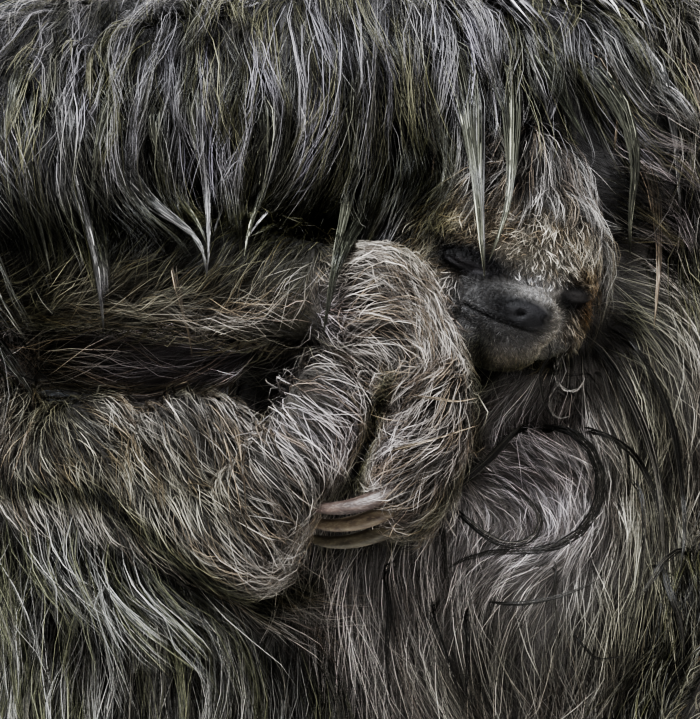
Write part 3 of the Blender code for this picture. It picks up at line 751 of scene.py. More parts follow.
# %% Tints and patches
TINTS = {
    "mantle": (0.335, 0.322, 0.322),
    # painted light: far paler than the flank's dark brown hair, so that it shows in the shaded gap between
    # arm and thigh
    "flank": (1.150, 1.040, 1.060),
    # olive-brown, and darker than the forearm partly as painted shade under the mantle's overhang
    "sleeve": (0.290, 0.268, 0.205),
    "forearm": (0.500, 0.456, 0.408),
    "shin": (0.490, 0.452, 0.405),
    "thigh": (0.530, 0.518, 0.480),
    "belly": (0.850, 0.790, 0.745),
    "crown": (0.430, 0.405, 0.382),
    "face": (0.580, 0.520, 0.440),
    "muzzle": (0.600, 0.585, 0.565),
    "left_arm": (0.250, 0.230, 0.200),
    "left_leg": (0.300, 0.280, 0.245),
    "left_limbs": (0.400, 0.360, 0.320),
    "back": (0.215, 0.200, 0.170),
}
PATCHES = (  # on the head, in its own axes: centre, reach, colour, strength
    ((0.0360, -0.013, -0.0020), (0.0050, 0.010, 0.0055), (0.780, 0.500, 0.270), 0.85),
    ((0.0300, -0.018, 0.0065), (0.0050, 0.010, 0.0035), (0.620, 0.440, 0.240), 0.80),
    ((0.0040, -0.030, 0.015), (0.0220, 0.016, 0.0095), (0.760, 0.700, 0.580), 0.80),
    ((-0.024, -0.022, 0.0125), (0.0110, 0.012, 0.0055), (0.620, 0.530, 0.400), 0.75),
    ((-0.0030, -0.032, -0.0205), (0.0125, 0.014, 0.0055), (0.420, 0.402, 0.390), 0.90),
    ((0.0060, -0.025, -0.0295), (0.0120, 0.014, 0.0035), (0.640, 0.560, 0.440), 0.85),
    ((-0.0150, -0.030, -0.0110), (0.0090, 0.012, 0.0085), (0.260, 0.252, 0.256), 0.80),
    ((0.0060, -0.040, 0.0010), (0.0110, 0.012, 0.0034), (1.300, 1.260, 1.220), 0.95),
    ((0.0160, -0.032, -0.0090), (0.0038, 0.012, 0.0085), (1.300, 1.220, 1.100), 0.92),
    ((0.0150, -0.027, -0.0210), (0.0045, 0.012, 0.0050), (0.850, 0.780, 0.650), 0.85),
    ((0.0240, -0.026, 0.0004), (0.0068, 0.012, 0.0042), (0.062, 0.059, 0.062), 0.96),
    ((-0.0235, -0.028, 0.0030), (0.0130, 0.014, 0.0044), (0.036, 0.033, 0.037), 0.985),
    ((NOSE_SIDE - 0.0040, -0.047, -0.0082), (0.0122, 0.012, 0.0050), (0.038, 0.037, 0.040), 1.00),
)
print(len(TINTS), "tints and", len(PATCHES), "patches")


# %% The colour of any place
def coat_tint(points, kinds):
    """The coat's colour at many places of the skin, before any hair's own variation."""
    base = np.array([TINTS[kind] for kind in COATS])[kinds]
    # painted shade: belly hair round the body's right side and flank hair towards the back are darkened,
    # keeping the flank's painted light to the gap
    outside = np.clip((-0.106 - points[:, 0]) / 0.016, 0, 1) * (kinds == list(COATS).index("belly"))
    behind = np.clip((points[:, 1] - 0.012) / 0.016, 0, 1) * (kinds == list(COATS).index("flank"))
    base = base * (1 - 0.68 * np.maximum(outside, behind))[:, None]
    local = in_head(points)
    heady = 1 / (1 + np.exp((np.linalg.norm(local, axis=1) - 0.058) / 0.002))
    for centre, reach, colour, strength in PATCHES:
        share = np.clip(1.6 * bump_at(local, centre, reach), 0, 1) * strength * heady
        base = base + (np.array(colour) - base) * share[:, None]
    lips = fading(local[:, 2] - lip_height(local), 0.0008) * (local[:, 0] > -0.019)
    lips *= np.clip((0.0105 - local[:, 0]) / 0.0050, 0, 1)
    return base * (1 - 0.62 * lips * heady * (local[:, 1] < -0.015))[:, None]


def painted_shade_at(points):
    """How much painted shade and painted light along the lines leave of the hair's colour: 1 where there are
    none.
    """
    spot, base = points[:, ::2] * 1000, np.ones(len(points))
    for *line, reach, strength in SHADE_AND_LIGHT_LINES:
        start, run = np.array(line[:2]), np.array(line[2:]) - line[:2]
        along = np.clip((spot - start) @ run / (run @ run), 0, 1)
        apart = np.linalg.norm(spot - start - along[:, None] * run, axis=1)
        base = base * (1 - strength * np.exp(-0.5 * (apart / reach) ** 2))
    return base


def bareness(points):
    """1 on the nose and the lids, which carry no hair."""
    local = in_head(points)
    found = 1.7 * bump_at(local, (NOSE_SIDE, -0.0450, -0.0082), (0.0070, 0.0062, 0.0033))
    for sign in (-1, 1):
        lid = bump_at(local, (sign * LID_SIDE, -0.027, LID_HEIGHT - 0.0008), (0.0066, 0.0070, 0.0014))
        found = np.maximum(found, 1.5 * lid)
    return np.clip(found, 0, 1)


bare_triangle = bareness(middles)
print(f"bare skin {areas[bare_triangle > 0.5].sum() * 1e4:.1f} cm2")

# %% [markdown]
# ## Growing hair
#
# A hair leaves its root, then takes a handful of steps. At each it turns a little towards the comb's
# direction, drops under its own wet weight, and is kept off the skin at its own height in the coat, so
# that hairs lie over one another like thatch. A coat at rest needs no simulation beyond that.


# %% Sowing
ROOT_DEPTH = 0.0006  # how far under the skin a hair starts
CLEAR, OVER_FLOOR = 0.0005, 0.0012  # how far it keeps from the skin and from the floor


def sow(count, chance):
    """Roots spread over the skin, each triangle drawn by its area and chance."""
    share = areas * chance
    picked = rng.choice(triangle_count, count, p=share / share.sum())
    split = rng.random((count, 2))
    split[split.sum(1) > 1] = 1 - split[split.sum(1) > 1]
    blend = np.column_stack([1 - split.sum(1), split])[:, :, None]
    out = normalised((skin_normals[corner_verts[picked]] * blend).sum(1))
    root = (corners[picked] * blend).sum(1)
    return dict(root=root, out=out, map=(skin_map[picked] * blend).sum(1), kind=triangle_kind[picked])


print("hairs start", ROOT_DEPTH * 1000, "mm under the skin")


# %% Growing
def grow(seeds, strokes, length, steps, layer_span, sag, cling, hug, stray, bend, curl):
    """Paths of many hairs, as count x (steps + 1) points, and how high each lies in the coat, from 0 to 1."""
    count = len(seeds["root"])
    level = rng.random(count)
    layer = layer_span[0] + (layer_span[1] - layer_span[0]) * level
    flatter = 0.5 if layer_span[1] < 0.0095 else 0.0
    layer = layer * (1 - flatter * np.maximum(seeds["out"][:, 2], 0))
    stride = (length / steps)[:, None]
    turn, sweep = rng.normal(0, stray, count), rng.normal(0, bend, count)
    phase, rate = rng.uniform(0, FULL_TURN, count), rng.uniform(1.5, 3.5, count)
    own_way = rng.normal(0, 0.13 + 0.45 * stray, (count, 3))
    own_way *= 1 + 2.2 * fading(seeds["root"][:, 1:2] - PARTING, 0.014) * (seeds["out"][:, 2:] > 0.4)
    here, out = seeds["root"].copy(), seeds["out"]
    gap, heading = np.zeros(count), None
    path = [here - out * ROOT_DEPTH]
    for step in range(1, steps + 1):
        share = step / steps
        lie = brushed(here, strokes) + own_way
        lie += 0.14 * wander(here, 0.030, 5) + 0.12 * wander(here, 0.011, 6)
        lie[:, 1] += (0.35 + 0.9 * np.maximum(out[:, 2], 0)) * np.tanh((here[:, 1] - PARTING) / 0.015)
        lie[:, 2] -= sag * share
        leave = (lie * out).sum(1)
        lie = normalised(lie - out * np.where(leave < 0, leave, leave * cling)[:, None])
        angle = turn + sweep * (share - 0.3) + curl * np.sin(rate * FULL_TURN * share + phase)
        lie = lie * np.cos(angle)[:, None] + np.cross(out, lie) * np.sin(angle)[:, None]
        rise = np.clip((layer * min(1.0, 2.2 * share) - gap) / stride[:, 0], -hug, 0.8)
        aim = normalised(lie + out * rise[:, None])
        heading = aim if heading is None else normalised(0.40 * heading + 0.60 * aim)
        here = here + heading * stride
        gap, out = to_skin(here)
        lift = np.maximum(CLEAR - gap, 0)
        here = here + out * lift[:, None]
        gap = gap + lift
        here[:, 2] = np.maximum(here[:, 2], OVER_FLOOR)
        path.append(here)
    return np.stack(path, 1), level


print("a hair keeps", CLEAR * 1000, "mm from the skin")

# %% [markdown]
# Water pulls neighbours together. A few hairs are picked as guides, every hair follows the nearest guide,
# and it is drawn to it more and more towards its tip, which makes a point of many hairs.


# %% Gathering into locks
def gather(paths, every, strength, within):
    """Draws neighbours together towards their tips, as water does. Returns paths and lock numbers."""
    count, points = paths.shape[:2]
    guides = rng.choice(count, max(1, count // every), replace=False)
    middle = points // 2
    tree = KDTree(len(guides))
    for number, guide in enumerate(guides):
        tree.insert(paths[guide, middle], number)
    tree.balance()
    owner = np.array([tree.find(point)[1] for point in paths[:, middle].tolist()])
    target = paths[guides[owner]]
    apart = np.linalg.norm(paths[:, middle] - target[:, middle], axis=1)
    share = strength * (np.arange(points) / (points - 1))
    pull = share[None, :] * (apart < within)[:, None]
    return paths + (target - paths) * pull[..., None], owner


print("neighbours gather round guides")

# %% [markdown]
# ## From paths to solid hairs
#
# Each hair is a closed prism of three sides that tapers to a point, a little flattened as wet hair is. A
# curve with a bevel or an operator could make one, but tens of thousands are slow that way, so arrays hold
# all of them at once: the same few faces, shifted by the number of points per hair.


# %% The shape of a hair
FLATNESS = 0.6  # how deep a hair is for its width


def rings(paths, radius, out):
    """Points of the prisms: three round each joint of the path, and one at the tip."""
    count, points = paths.shape[:2]
    along = normalised(np.gradient(paths, axis=1))
    steps = points - 1
    taper = np.clip(1.12 - (np.arange(steps) / steps) ** 1.8, 0.2, 1.0)
    taper[0] = 0.75
    up = out.copy()
    made = np.empty((count, steps * 3 + 1, 3))
    for joint in range(steps):
        way = along[:, joint]
        up = normalised(up - way * (up * way).sum(1)[:, None] + 1e-9)
        side = np.cross(way, up)
        size = (radius * taper[joint])[:, None]
        for corner, angle in enumerate((90, 210, 330)):
            turn = math.radians(angle)
            offset = side * math.cos(turn) + up * math.sin(turn) * FLATNESS
            made[:, joint * 3 + corner] = paths[:, joint] + offset * size
    made[:, -1] = paths[:, -1]
    return made


def prism_faces(steps):
    """The faces of one hair: a root cap, the sides, and the point."""
    sides = [
        (3 * ring + a, 3 * ring + b, 3 * ring + 3 + b, 3 * ring + 3 + a)
        for ring in range(steps - 1)
        for a, b in ((0, 1), (1, 2), (2, 0))
    ]
    last = 3 * (steps - 1)
    return [(2, 1, 0)] + sides + [(last + a, last + b, last + 3) for a, b in ((0, 1), (1, 2), (2, 0))]


print(len(prism_faces(4)), "faces in a hair of 4 steps")

# %% [markdown]
# Three attributes go along with the points, so that one material can shade every hair: its tint, how far
# along the hair a point is, and a number by chance. On the map each hair gets a small patch at its root.


# %% Hair meshes
PATCH = 0.003  # the side of each hair's patch on the map


def halves(bundle):
    """A bundle cut in two by its roots, the animal's right and its left."""
    right = bundle["paths"][:, 0, 0] < np.median(bundle["paths"][:, 0, 0])
    return [{key: values[mask] for key, values in bundle.items()} for mask in (right, ~right)]


def solid_hairs(bundle, point_base, loop_base):
    """The arrays of one bundle's hairs: points, corners, first corners, map, tints, along, chance."""
    steps = bundle["paths"].shape[1] - 1
    points = rings(bundle["paths"], bundle["radius"], bundle["out"])
    count, per_hair = points.shape[:2]
    faces = prism_faces(steps)
    order = np.concatenate([np.array(face) for face in faces])
    loops = ((np.arange(count) * per_hair)[:, None] + order).ravel() + point_base
    begin = np.cumsum([0] + [len(face) for face in faces[:-1]])
    starts = (np.arange(count)[:, None] * len(order) + begin).ravel() + loop_base
    ring_of = np.minimum(np.arange(per_hair) // 3, steps)
    patch = np.column_stack([(np.arange(per_hair) % 3) / 2 - 0.5, ring_of / steps - 0.5]) * PATCH
    patch[-1] = (0, PATCH / 2)
    maps = (bundle["map"][:, None] + patch)[:, order].reshape(-1, 2)
    tints = bundle["tint"][:, ring_of].reshape(-1, 3)
    along = np.tile(ring_of / steps, count)
    return points.reshape(-1, 3), loops, starts, maps, tints, along, np.repeat(rng.random(count), per_hair)


def hair_piece(name, bundles):
    """One mesh of all the hairs of several bundles, and its number of triangles."""
    rows, point_base, loop_base = [], 0, 0
    for bundle in bundles:
        rows.append(solid_hairs(bundle, point_base, loop_base))
        point_base += len(rows[-1][0])
        loop_base += len(rows[-1][1])
    points, loops, starts, maps, tints, along, chance = (np.concatenate(column) for column in zip(*rows))
    mesh = bpy.data.meshes.new(name)
    mesh.vertices.add(len(points))
    mesh.vertices.foreach_set("co", points.ravel())
    mesh.loops.add(len(loops))
    mesh.loops.foreach_set("vertex_index", loops)
    mesh.polygons.add(len(starts))
    mesh.polygons.foreach_set("loop_start", starts)
    mesh.update(calc_edges=True)
    mesh.uv_layers.new(name="OFBake").data.foreach_set("uv", maps.ravel())
    for label, values in (("tint", tints), ("along", along), ("chance", chance)):
        write_points(mesh, label, values)
    mesh.shade_smooth()
    triangles = len(loops) - 2 * len(starts)
    print(f"{name:18s} {sum(len(b['paths']) for b in bundles):6d} hairs {triangles:7d} triangles")
    return placed(name, mesh), triangles


print("a patch on the map is", PATCH, "of its side")

# %% [markdown]
# ## How each coat grows
#
# Long and heavy on shoulder and back, woolly and crossed on forearm and shin, fine on the belly, and a
# few millimetres on the face. One row of numbers describes a coat, so that coats differ without new code.
# Hair on the sides away from the camera is thicker and sparser, which saves triangles.

# %% Styles of coat
#        count, length (m), steps, layer (m), half width (mm), sag, cling, hug, stray, bend, curl, gather
NEAR = {
    "mantle": (7300, (0.040, 0.085), 6, (0.002, 0.011), 0.168, 0.45, 0.35, 0.10, 0.15, 0.45, 0.22, (14, 0.8)),
    "flank": (900, (0.030, 0.055), 5, (0.001, 0.009), 0.17, 0.10, 1.0, 0.40, 0.20, 0.50, 0.06, (8, 0.5)),
    "sleeve": (1900, (0.018, 0.040), 4, (0.001, 0.0075), 0.150, 0.10, 1.0, 0.50, 0.16, 0.30, 0.04, (6, 0.3)),
    "forearm": (4900, (0.014, 0.032), 4, (0.001, 0.0068), 0.135, 0.10, 1.0, 0.60, 0.22, 0.6, 0.10, (6, 0.35)),
    "shin": (6200, (0.018, 0.038), 4, (0.001, 0.0070), 0.138, 0.10, 1.0, 0.60, 0.17, 0.45, 0.06, (7, 0.45)),
    "thigh": (3900, (0.036, 0.072), 5, (0.002, 0.010), 0.165, 0.40, 0.7, 0.30, 0.08, 0.22, 0.04, (12, 0.72)),
    "belly": (8000, (0.017, 0.036), 4, (0.001, 0.0055), 0.126, 0.15, 1.0, 0.60, 0.15, 0.32, 0.05, (7, 0.42)),
    "crown": (1900, (0.022, 0.052), 5, (0.001, 0.009), 0.150, 0.22, 0.9, 0.40, 0.15, 0.38, 0.06, (7, 0.45)),
    "face": (4700, (0.0075, 0.0145), 4, (0.0006, 0.0042), 0.118, 0.05, 1.0, 0.60, 0.38, 1.20, 0.36, (5, 0.2)),
    "muzzle": (7600, (0.0014, 0.0028), 2, (0.0005, 0.0015), 0.100, 0.0, 1.0, 0.60, 0.18, 0.3, 0.0, (4, 0.0)),
    "left_arm": (1100, (0.028, 0.055), 4, (0.002, 0.010), 0.20, 0.4, 0.6, 0.3, 0.18, 0.4, 0.05, (8, 0.5)),
    "left_leg": (550, (0.024, 0.045), 5, (0.002, 0.009), 0.20, 0.3, 0.8, 0.4, 0.20, 0.4, 0.05, (8, 0.5)),
    "left_limbs": (250, (0.014, 0.028), 4, (0.001, 0.007), 0.20, 0.2, 1.0, 0.6, 0.30, 0.8, 0.08, (6, 0.3)),
}
FAR_LIMB = (3, (0.001, 0.008), 0.60, 0.1, 1.0, 0.6, 0.35, 0.8, 0.1, (5, 0.5))
FAR = {
    "mantle": (2300, (0.045, 0.070), 4, (0.002, 0.012), 0.85, 0.45, 0.3, 0.15, 0.12, 0.3, 0.03, (6, 0.75)),
    "flank": (120, (0.030, 0.050), 4, (0.002, 0.010), 0.80, 0.30, 1.0, 0.40, 0.20, 0.50, 0.06, (6, 0.6)),
    "sleeve": (400, (0.016, 0.030), *FAR_LIMB),
    "forearm": (450, (0.016, 0.028), *FAR_LIMB),
    "shin": (800, (0.016, 0.028), *FAR_LIMB),
    "thigh": (1400, (0.030, 0.048), 4, (0.002, 0.012), 0.80, 0.3, 0.7, 0.4, 0.18, 0.4, 0.05, (6, 0.7)),
    "belly": (1150, (0.022, 0.040), 3, (0.002, 0.010), 0.70, 0.3, 0.9, 0.5, 0.2, 0.4, 0.05, (6, 0.6)),
    "crown": (700, (0.012, 0.024), 3, (0.001, 0.007), 0.50, 0.1, 1.0, 0.55, 0.2, 0.4, 0.05, (6, 0.6)),
    "left_arm": (1200, (0.028, 0.048), 4, (0.002, 0.011), 0.75, 0.4, 0.6, 0.4, 0.15, 0.4, 0.05, (6, 0.7)),
    "left_leg": (1300, (0.026, 0.044), 4, (0.002, 0.011), 0.75, 0.3, 0.7, 0.4, 0.18, 0.4, 0.05, (6, 0.7)),
    "left_limbs": (1450, (0.016, 0.028), 3, (0.001, 0.008), 0.55, 0.2, 1.0, 0.6, 0.30, 0.8, 0.08, (5, 0.4)),
    "back": (3200, (0.036, 0.056), 4, (0.002, 0.012), 0.90, 0.35, 0.6, 0.35, 0.14, 0.35, 0.04, (7, 0.75)),
}
BRUSH = {  # which strokes comb a coat, where they aren't its own
    **dict.fromkeys(("left_arm", "left_leg", "left_limbs"), "left_side"),
    **dict.fromkeys(("crown", "face"), "head"),
    "back": "down",
    "sleeve": "forearm",
}
print(sum(row[0] for row in [*NEAR.values(), *FAR.values()]), "hairs to grow")

# %% [markdown]
# Hairs of one lock are wet or dry together, and algae colour some locks green. So a lock draws its colour
# by chance, and each hair in it differs a little more.

# %% Streaks of colour
DAMP = (((0.68, 0.71, 0.52), 0.25), ((0.36, 0.35, 0.32), 0.20), ((1.35, 1.37, 1.40), 0.25))
DRY = (((0.64, 0.57, 0.48), 0.25), ((0.32, 0.28, 0.25), 0.12), ((1.30, 1.32, 1.36), 0.30))
STREAKS = {  # how a lock's own colour differs (algae, dark, pale), and how often
    "mantle": (((0.58, 0.585, 0.38), 0.30), ((0.34, 0.34, 0.29), 0.18), ((1.22, 1.22, 1.27), 0.25)),
    "belly": (((0.62, 0.60, 0.58), 0.20), ((0.36, 0.33, 0.31), 0.10), ((1.30, 1.32, 1.35), 0.30)),
    **dict.fromkeys(("thigh", "left_arm", "left_leg", "back"), DAMP),
}


def streaks(owner, coat):
    """Each lock gets a shade of its own, and a few are green with algae, dark, or pale."""
    tone = rng.lognormal(0, 0.18, owner.max() + 1)[owner] * rng.lognormal(0, 0.42, len(owner))
    tone = np.minimum(tone, 1.7 if coat == "mantle" else 2.1)
    kinds = rng.random(owner.max() + 1)[owner]
    found, low = np.ones((len(owner), 3)), 0.0
    for colour, share in STREAKS.get(coat, DRY):
        found[(kinds >= low) & (kinds < low + share)] = colour
        low += share
    return found * tone[:, None]


print(len(STREAKS), "coats with streaks of their own")

# %% [markdown]
# Drawn paths are flat, across and up. A ray from the camera's side finds the skin behind each point of a
# path, and the lock hangs in front of it: it falls free below a bulge and does not follow the hollows.


# %% Locks in front of the coat
FINE = 60  # steps of a path while it is worked out
LEAD = 6  # steps over which a lock swings clear before it meets a bulge
RAY_FROM, NO_SKIN = -0.6, -0.10  # where rays start, and where a lock hangs if they meet no skin


def eased(values, times):
    """Values along a path, each drawn to its neighbours' mean, the ends held."""
    for _ in range(times):
        values[1:-1] = (values[:-2] + 2 * values[1:-1] + values[2:]) / 4
    return values


def in_front(line, height, steps):
    """Points along a drawn line, each held this far in front of the skin."""
    spots = np.array(line, float) / 1000
    reach = np.concatenate([[0], np.cumsum(np.linalg.norm(np.diff(spots, axis=0), axis=1))])
    fine = np.linspace(0, reach[-1], FINE + 1)
    across_up = eased(np.column_stack([np.interp(fine, reach, spots[:, axis]) for axis in (0, 1)]), 36)
    depth, last, slope = np.empty(FINE + 1), None, 0.6 * (fine[1] - fine[0])
    for number, (x, z) in enumerate(across_up):
        hit = skin_rays.ray_cast((x, RAY_FROM, z), (0, 1, 0))[0]
        wanted = hit.y - height if hit else (last if last is not None else NO_SKIN)
        last = wanted if last is None else min(wanted, last + slope)
        depth[number] = last
    hung = depth.copy()
    for lead in range(1, LEAD + 1):
        depth[:-lead] = np.minimum(depth[:-lead], hung[lead:])
    whole = np.column_stack([across_up[:, 0], eased(depth, 20), across_up[:, 1]])
    return whole[np.linspace(0, FINE, steps + 1).round().astype(int)]


MAIN_LOCK, HIGH_LOCK = 55, 17  # a lock of this many hairs, unless it hangs this far out, draws in the coat
LINE_STEPS = 40
lock_lines = [
    in_front(line, height / 1000, LINE_STEPS)
    for _, _, count, height, line in LOCKS
    if count >= MAIN_LOCK and height < HIGH_LOCK
]
print(len(lock_lines), "locks draw the coat in")

# %% [markdown]
# Length changes within a coat. Hair of the mantle ends at the tip of its lock or at the hem, hair in the
# belly's coil is short and fine, and hair of the face is shortest near the nose.

# %% How long the hair is
HEM = np.array((  # the mantle's lower edge between its locks: across and up, in millimetres
    (-155, 250), (-132, 250), (-117, 240), (-98, 256), (-76, 244), (-62, 252), (-45, 256),
    (-32, 246), (-24, 250), (-11, 260), (1, 267), (12, 274), (27, 282), (43, 286),
    (52, 287), (65, 281), (81, 266), (96, 240), (111, 212),
)) / 1000
COIL, COIL_RADIUS = (0.045, 0.152), 0.030  # the whorl of wool on the belly


def nearest_line(points):
    """For each root, the lock that it hangs nearest to, and how far that is to the side."""
    best, choice = np.full(len(points), 9.0), np.zeros(len(points), int)
    for number, line in enumerate(lock_lines):
        aside = np.abs(points[:, 0] - np.interp(points[:, 2], line[::-1, 2], line[::-1, 0]))
        aside = aside + np.where(line[-1, 2] > points[:, 2] - 0.014, 0.05, 0.0)
        choice = np.where(aside < best, number, choice)
        best = np.minimum(best, aside)
    return choice, best


def in_hollow(root):
    """The hollow behind the head, where the coat is short and sweeps to the left shoulder."""
    return (root[:, 0] > 0.076) & (root[:, 2] < 0.312) & (root[:, 1] < 0.04)


def from_coil(root):
    """How far outside the belly's coil of matted wool each root lies, from 0 to 1."""
    apart = np.hypot((root[:, 0] - COIL[0]) / COIL_RADIUS, (root[:, 2] - COIL[1]) / COIL_RADIUS)
    return np.clip(apart - 0.7, 0, 1)


def lengths(name, seeds, span):
    """How long each hair grows: to the tip of its lock on the mantle, and short towards the muzzle."""
    root = seeds["root"]
    found = rng.uniform(*span, len(root))
    if name == "mantle":
        choice, aside = nearest_line(root)
        shown = (root[:, 1] < 0.02) & (root[:, 0] > -0.165)
        seeds["lock"] = np.where((aside < 0.042) & shown, choice, -1)
        tips = np.array([line[-1, 2] for line in lock_lines])[choice]
        edge = np.where(seeds["lock"] >= 0, tips, np.interp(root[:, 0], *HEM.T))
        hang = root[:, 2] - edge
        drop = np.maximum(hang * rng.uniform(0.55, 1.10, len(root)) + 0.003, 0.016)
        found = np.where(shown, np.minimum(found, drop), found)
        hollow = in_hollow(root)
        seeds["lock"][hollow] = -1
        found = np.where(hollow, rng.uniform(0.018, 0.036, len(root)), found)
    if name == "back":
        found *= np.where(root[:, 1] > 0.125, 0.55, 1.0)
    if name == "belly":
        found *= 0.72 + 0.9 * from_coil(root)
    if name == "face":
        local = in_head(root)
        found *= np.clip(1.0 + (local[:, 1] + 0.020) / 0.030, 0.5, 1.6)
        found *= 1 - 0.35 * (local[:, 0] > 0.012) * (local[:, 2] < 0.004)
        for sign in (-1, 1):
            found *= 1 - 0.70 * bump_at(local, (sign * 0.0235, -0.028, 0.0050), (0.0140, 0.0140, 0.0075))
    if name == "crown":
        local = in_head(root)
        reach = np.maximum((local[:, 2] - 0.024) * np.where(local[:, 0] < -0.004, 2.4, 1.5), 0.010)
        reach *= rng.uniform(0.6, 1.6, len(root))
        found = np.where(local[:, 0] < 0.028, np.minimum(found, reach), found)
    return found


print("the mantle's hem runs from", HEM[0], "to", HEM[-1])

# %% [markdown]
# Now every coat grows twice, fine on the camera's side and coarse on the others. Its colour comes from
# the place, with painted shade where a hair lies deep in the coat.

# %% Growing every coat
DRAW_ZONE, DRAW_STRENGTH = 0.060, 0.95  # a lock draws hair in from this high over its tip


def drawn_to_locks(paths, choice):
    """Bends hairs to their lock's line, more and more as they near the height of its tip."""
    for number, line in enumerate(lock_lines):
        mine = choice == number
        if mine.any():
            spots = paths[mine]
            share = np.clip((line[-1, 2] + DRAW_ZONE - spots[..., 2]) / DRAW_ZONE, 0, 1) ** 1.1
            share = share * DRAW_STRENGTH * rng.uniform(0.45, 1.15, len(spots)).clip(max=1.0)[:, None]
            for axis in (0, 1):
                goal = np.interp(spots[..., 2], line[::-1, 2], line[::-1, axis])
                spots[..., axis] += (goal - spots[..., axis]) * share
            paths[mine] = spots
    return paths


def coat(name, chance, style):
    """All the hairs of one coat: sown, grown, gathered in locks and coloured."""
    count, span, steps, layer, width, sag, cling, hug, stray, bend, curl, (every, strength) = style
    chance = chance * COATS[name] * (bare_triangle < (0.60 if name == "muzzle" else 0.35))
    if name == "belly":
        chance = chance * (2.6 - 1.6 * from_coil(middles))
    seeds = sow(count, chance)
    length = lengths(name, seeds, span)
    strokes = STROKES[BRUSH.get(name, name)]
    paths, level = grow(seeds, strokes, length, steps, layer, sag, cling, hug, stray, bend, curl)
    paths, owner = gather(paths, every, strength, within=0.020 if name == "mantle" else 0.009)
    if name == "mantle":
        paths = drawn_to_locks(paths, seeds["lock"])
    radius = width / 1000 * rng.uniform(0.7, 1.25, count)
    if name == "belly":
        radius *= 0.72 + 0.28 * from_coil(seeds["root"])
    if name == "mantle":
        radius *= np.where(in_hollow(seeds["root"]), 0.75, 1.0)
    places = paths.reshape(-1, 3)
    marked = paths if name in ("face", "muzzle") else np.repeat(seeds["root"][:, None], steps + 1, 1)
    tint = coat_tint(marked.reshape(-1, 3), np.repeat(seeds["kind"], steps + 1))
    # painted shade and light of the lines, taken where each point of a hair lies; blue falls away faster, so
    # the shade turns olive
    tint = (tint * painted_shade_at(places)[:, None] ** np.array((1.0, 0.97, 1.25))).reshape(count, steps + 1, 3)
    # each lock's own colour, times painted shade: a hair lying deep in the coat is darker, as less light
    # reaches it
    lock_tone_and_depth_shade = streaks(owner, name) * (0.10 + 1.20 * level**1.7)[:, None]
    if name == "muzzle":
        lock_tone_and_depth_shade = 0.30 + 0.50 * np.minimum(lock_tone_and_depth_shade, 1.8)
    tint = tint * lock_tone_and_depth_shade[:, None]
    if name == "mantle":
        tint[in_hollow(seeds["root"])] *= (0.80, 0.72, 0.66)
    return dict(paths=paths, radius=radius, out=seeds["out"], map=seeds["map"], tint=tint)


near = {name: coat(name, near_chance, style) for name, style in NEAR.items()}
far = {name: coat(name, far_chance, style) for name, style in FAR.items()}
print("hairs:", sum(len(bundle["paths"]) for bundle in [*near.values(), *far.values()]))

# %% [markdown]
# A drawn lock is a bundle of hairs round one path. It starts wide and ends in a point; a wisp is loose in
# the middle and tapers both ways. Each hair's root sinks into the skin behind it.

# %% Locks and wisps along drawn paths
LOCK_TINTS = {
    "wet": (0.120, 0.117, 0.113),
    "pale": (0.185, 0.180, 0.180),
    "algae": (0.104, 0.105, 0.083),
    "green": (0.056, 0.058, 0.045),
    "dun": (0.150, 0.122, 0.090),
    "light": (0.420, 0.400, 0.375),
    "wisp": (0.030, 0.028, 0.024),
}


def drawn_lock(line, spread, count, height, tint, width, steps, early, looseness, spindle, glint_share):
    """Hairs that run together along a drawn path, as a pointed lock or as a loose spindle."""
    middle = in_front(line, height / 1000, LINE_STEPS)
    along = normalised(np.gradient(middle, axis=0))
    side = normalised(np.cross(along, (0, -1, 0)))
    start = rng.uniform(0, early, count) ** 1.3
    stop = np.where(rng.random(count) < 0.6, 1.0, rng.uniform(0.72, 1.0, count))
    share = start[:, None] + (stop - start)[:, None] * np.linspace(0, 1, steps + 1)
    index = share * LINE_STEPS
    low = np.clip(index.astype(int), 0, LINE_STEPS - 1)
    rest = (index - low)[..., None]
    core = middle[low] * (1 - rest) + middle[low + 1] * rest
    shape = np.sin(np.pi * (0.04 + 0.94 * share)) ** 0.8 if spindle else 1.25 - 1.22 * share**0.75
    out_spread = spread / 1000 * shape
    angle, ring = rng.uniform(0, FULL_TURN, count), np.sqrt(rng.random(count))
    swing = 0.25 * looseness * np.sin(share * rng.uniform(4, 9, count)[:, None] + angle[:, None])
    core += side[low] * (out_spread * (ring * np.cos(angle))[:, None] + swing * out_spread)[..., None]
    core[..., 1] += out_spread * 0.55 * (ring * np.sin(angle))[:, None]
    found = [skin_tree.find(point)[1] for point in core[:, 0].tolist()]
    root, out = skin_points[found], skin_normals[found]
    sink = np.clip(1 - np.arange(steps + 1) / 1.8, 0, 1) ** 2
    core += (root - out * 0.0005 - core[:, 0])[:, None] * sink[:, None]
    # painted glints: a share of the hairs is four times brighter, as where light catches wet hair
    shade = rng.lognormal(0, 0.62, count) * np.where(rng.random(count) < glint_share, 4.0, 1.0)
    return dict(
        paths=core,
        radius=width / 1000 * rng.uniform(0.75, 1.25, count),
        out=np.tile((0.0, -1.0, 0.0), (count, 1)),
        map=vert_map[found],
        tint=np.repeat((np.array(tint) * shade[:, None])[:, None], steps + 1, 1),
    )


LOCK_STYLE = dict(width=0.22, steps=7, early=0.45, looseness=1.0, spindle=False, glint_share=0.09)
WISP_STYLE = dict(width=0.165, steps=13, early=0.12, looseness=0.7, spindle=True, glint_share=0.22)
locks = [
    drawn_lock(line, spread, count, height, LOCK_TINTS[kind], **LOCK_STYLE)
    for kind, spread, count, height, line in LOCKS
]
wisps = [
    drawn_lock(line, spread * 1.1, count * 4 // 3, height, LOCK_TINTS["wisp"], **WISP_STYLE)
    for spread, count, height, line in WISPS
]
print(len(locks), "locks and", len(wisps), "wisps")

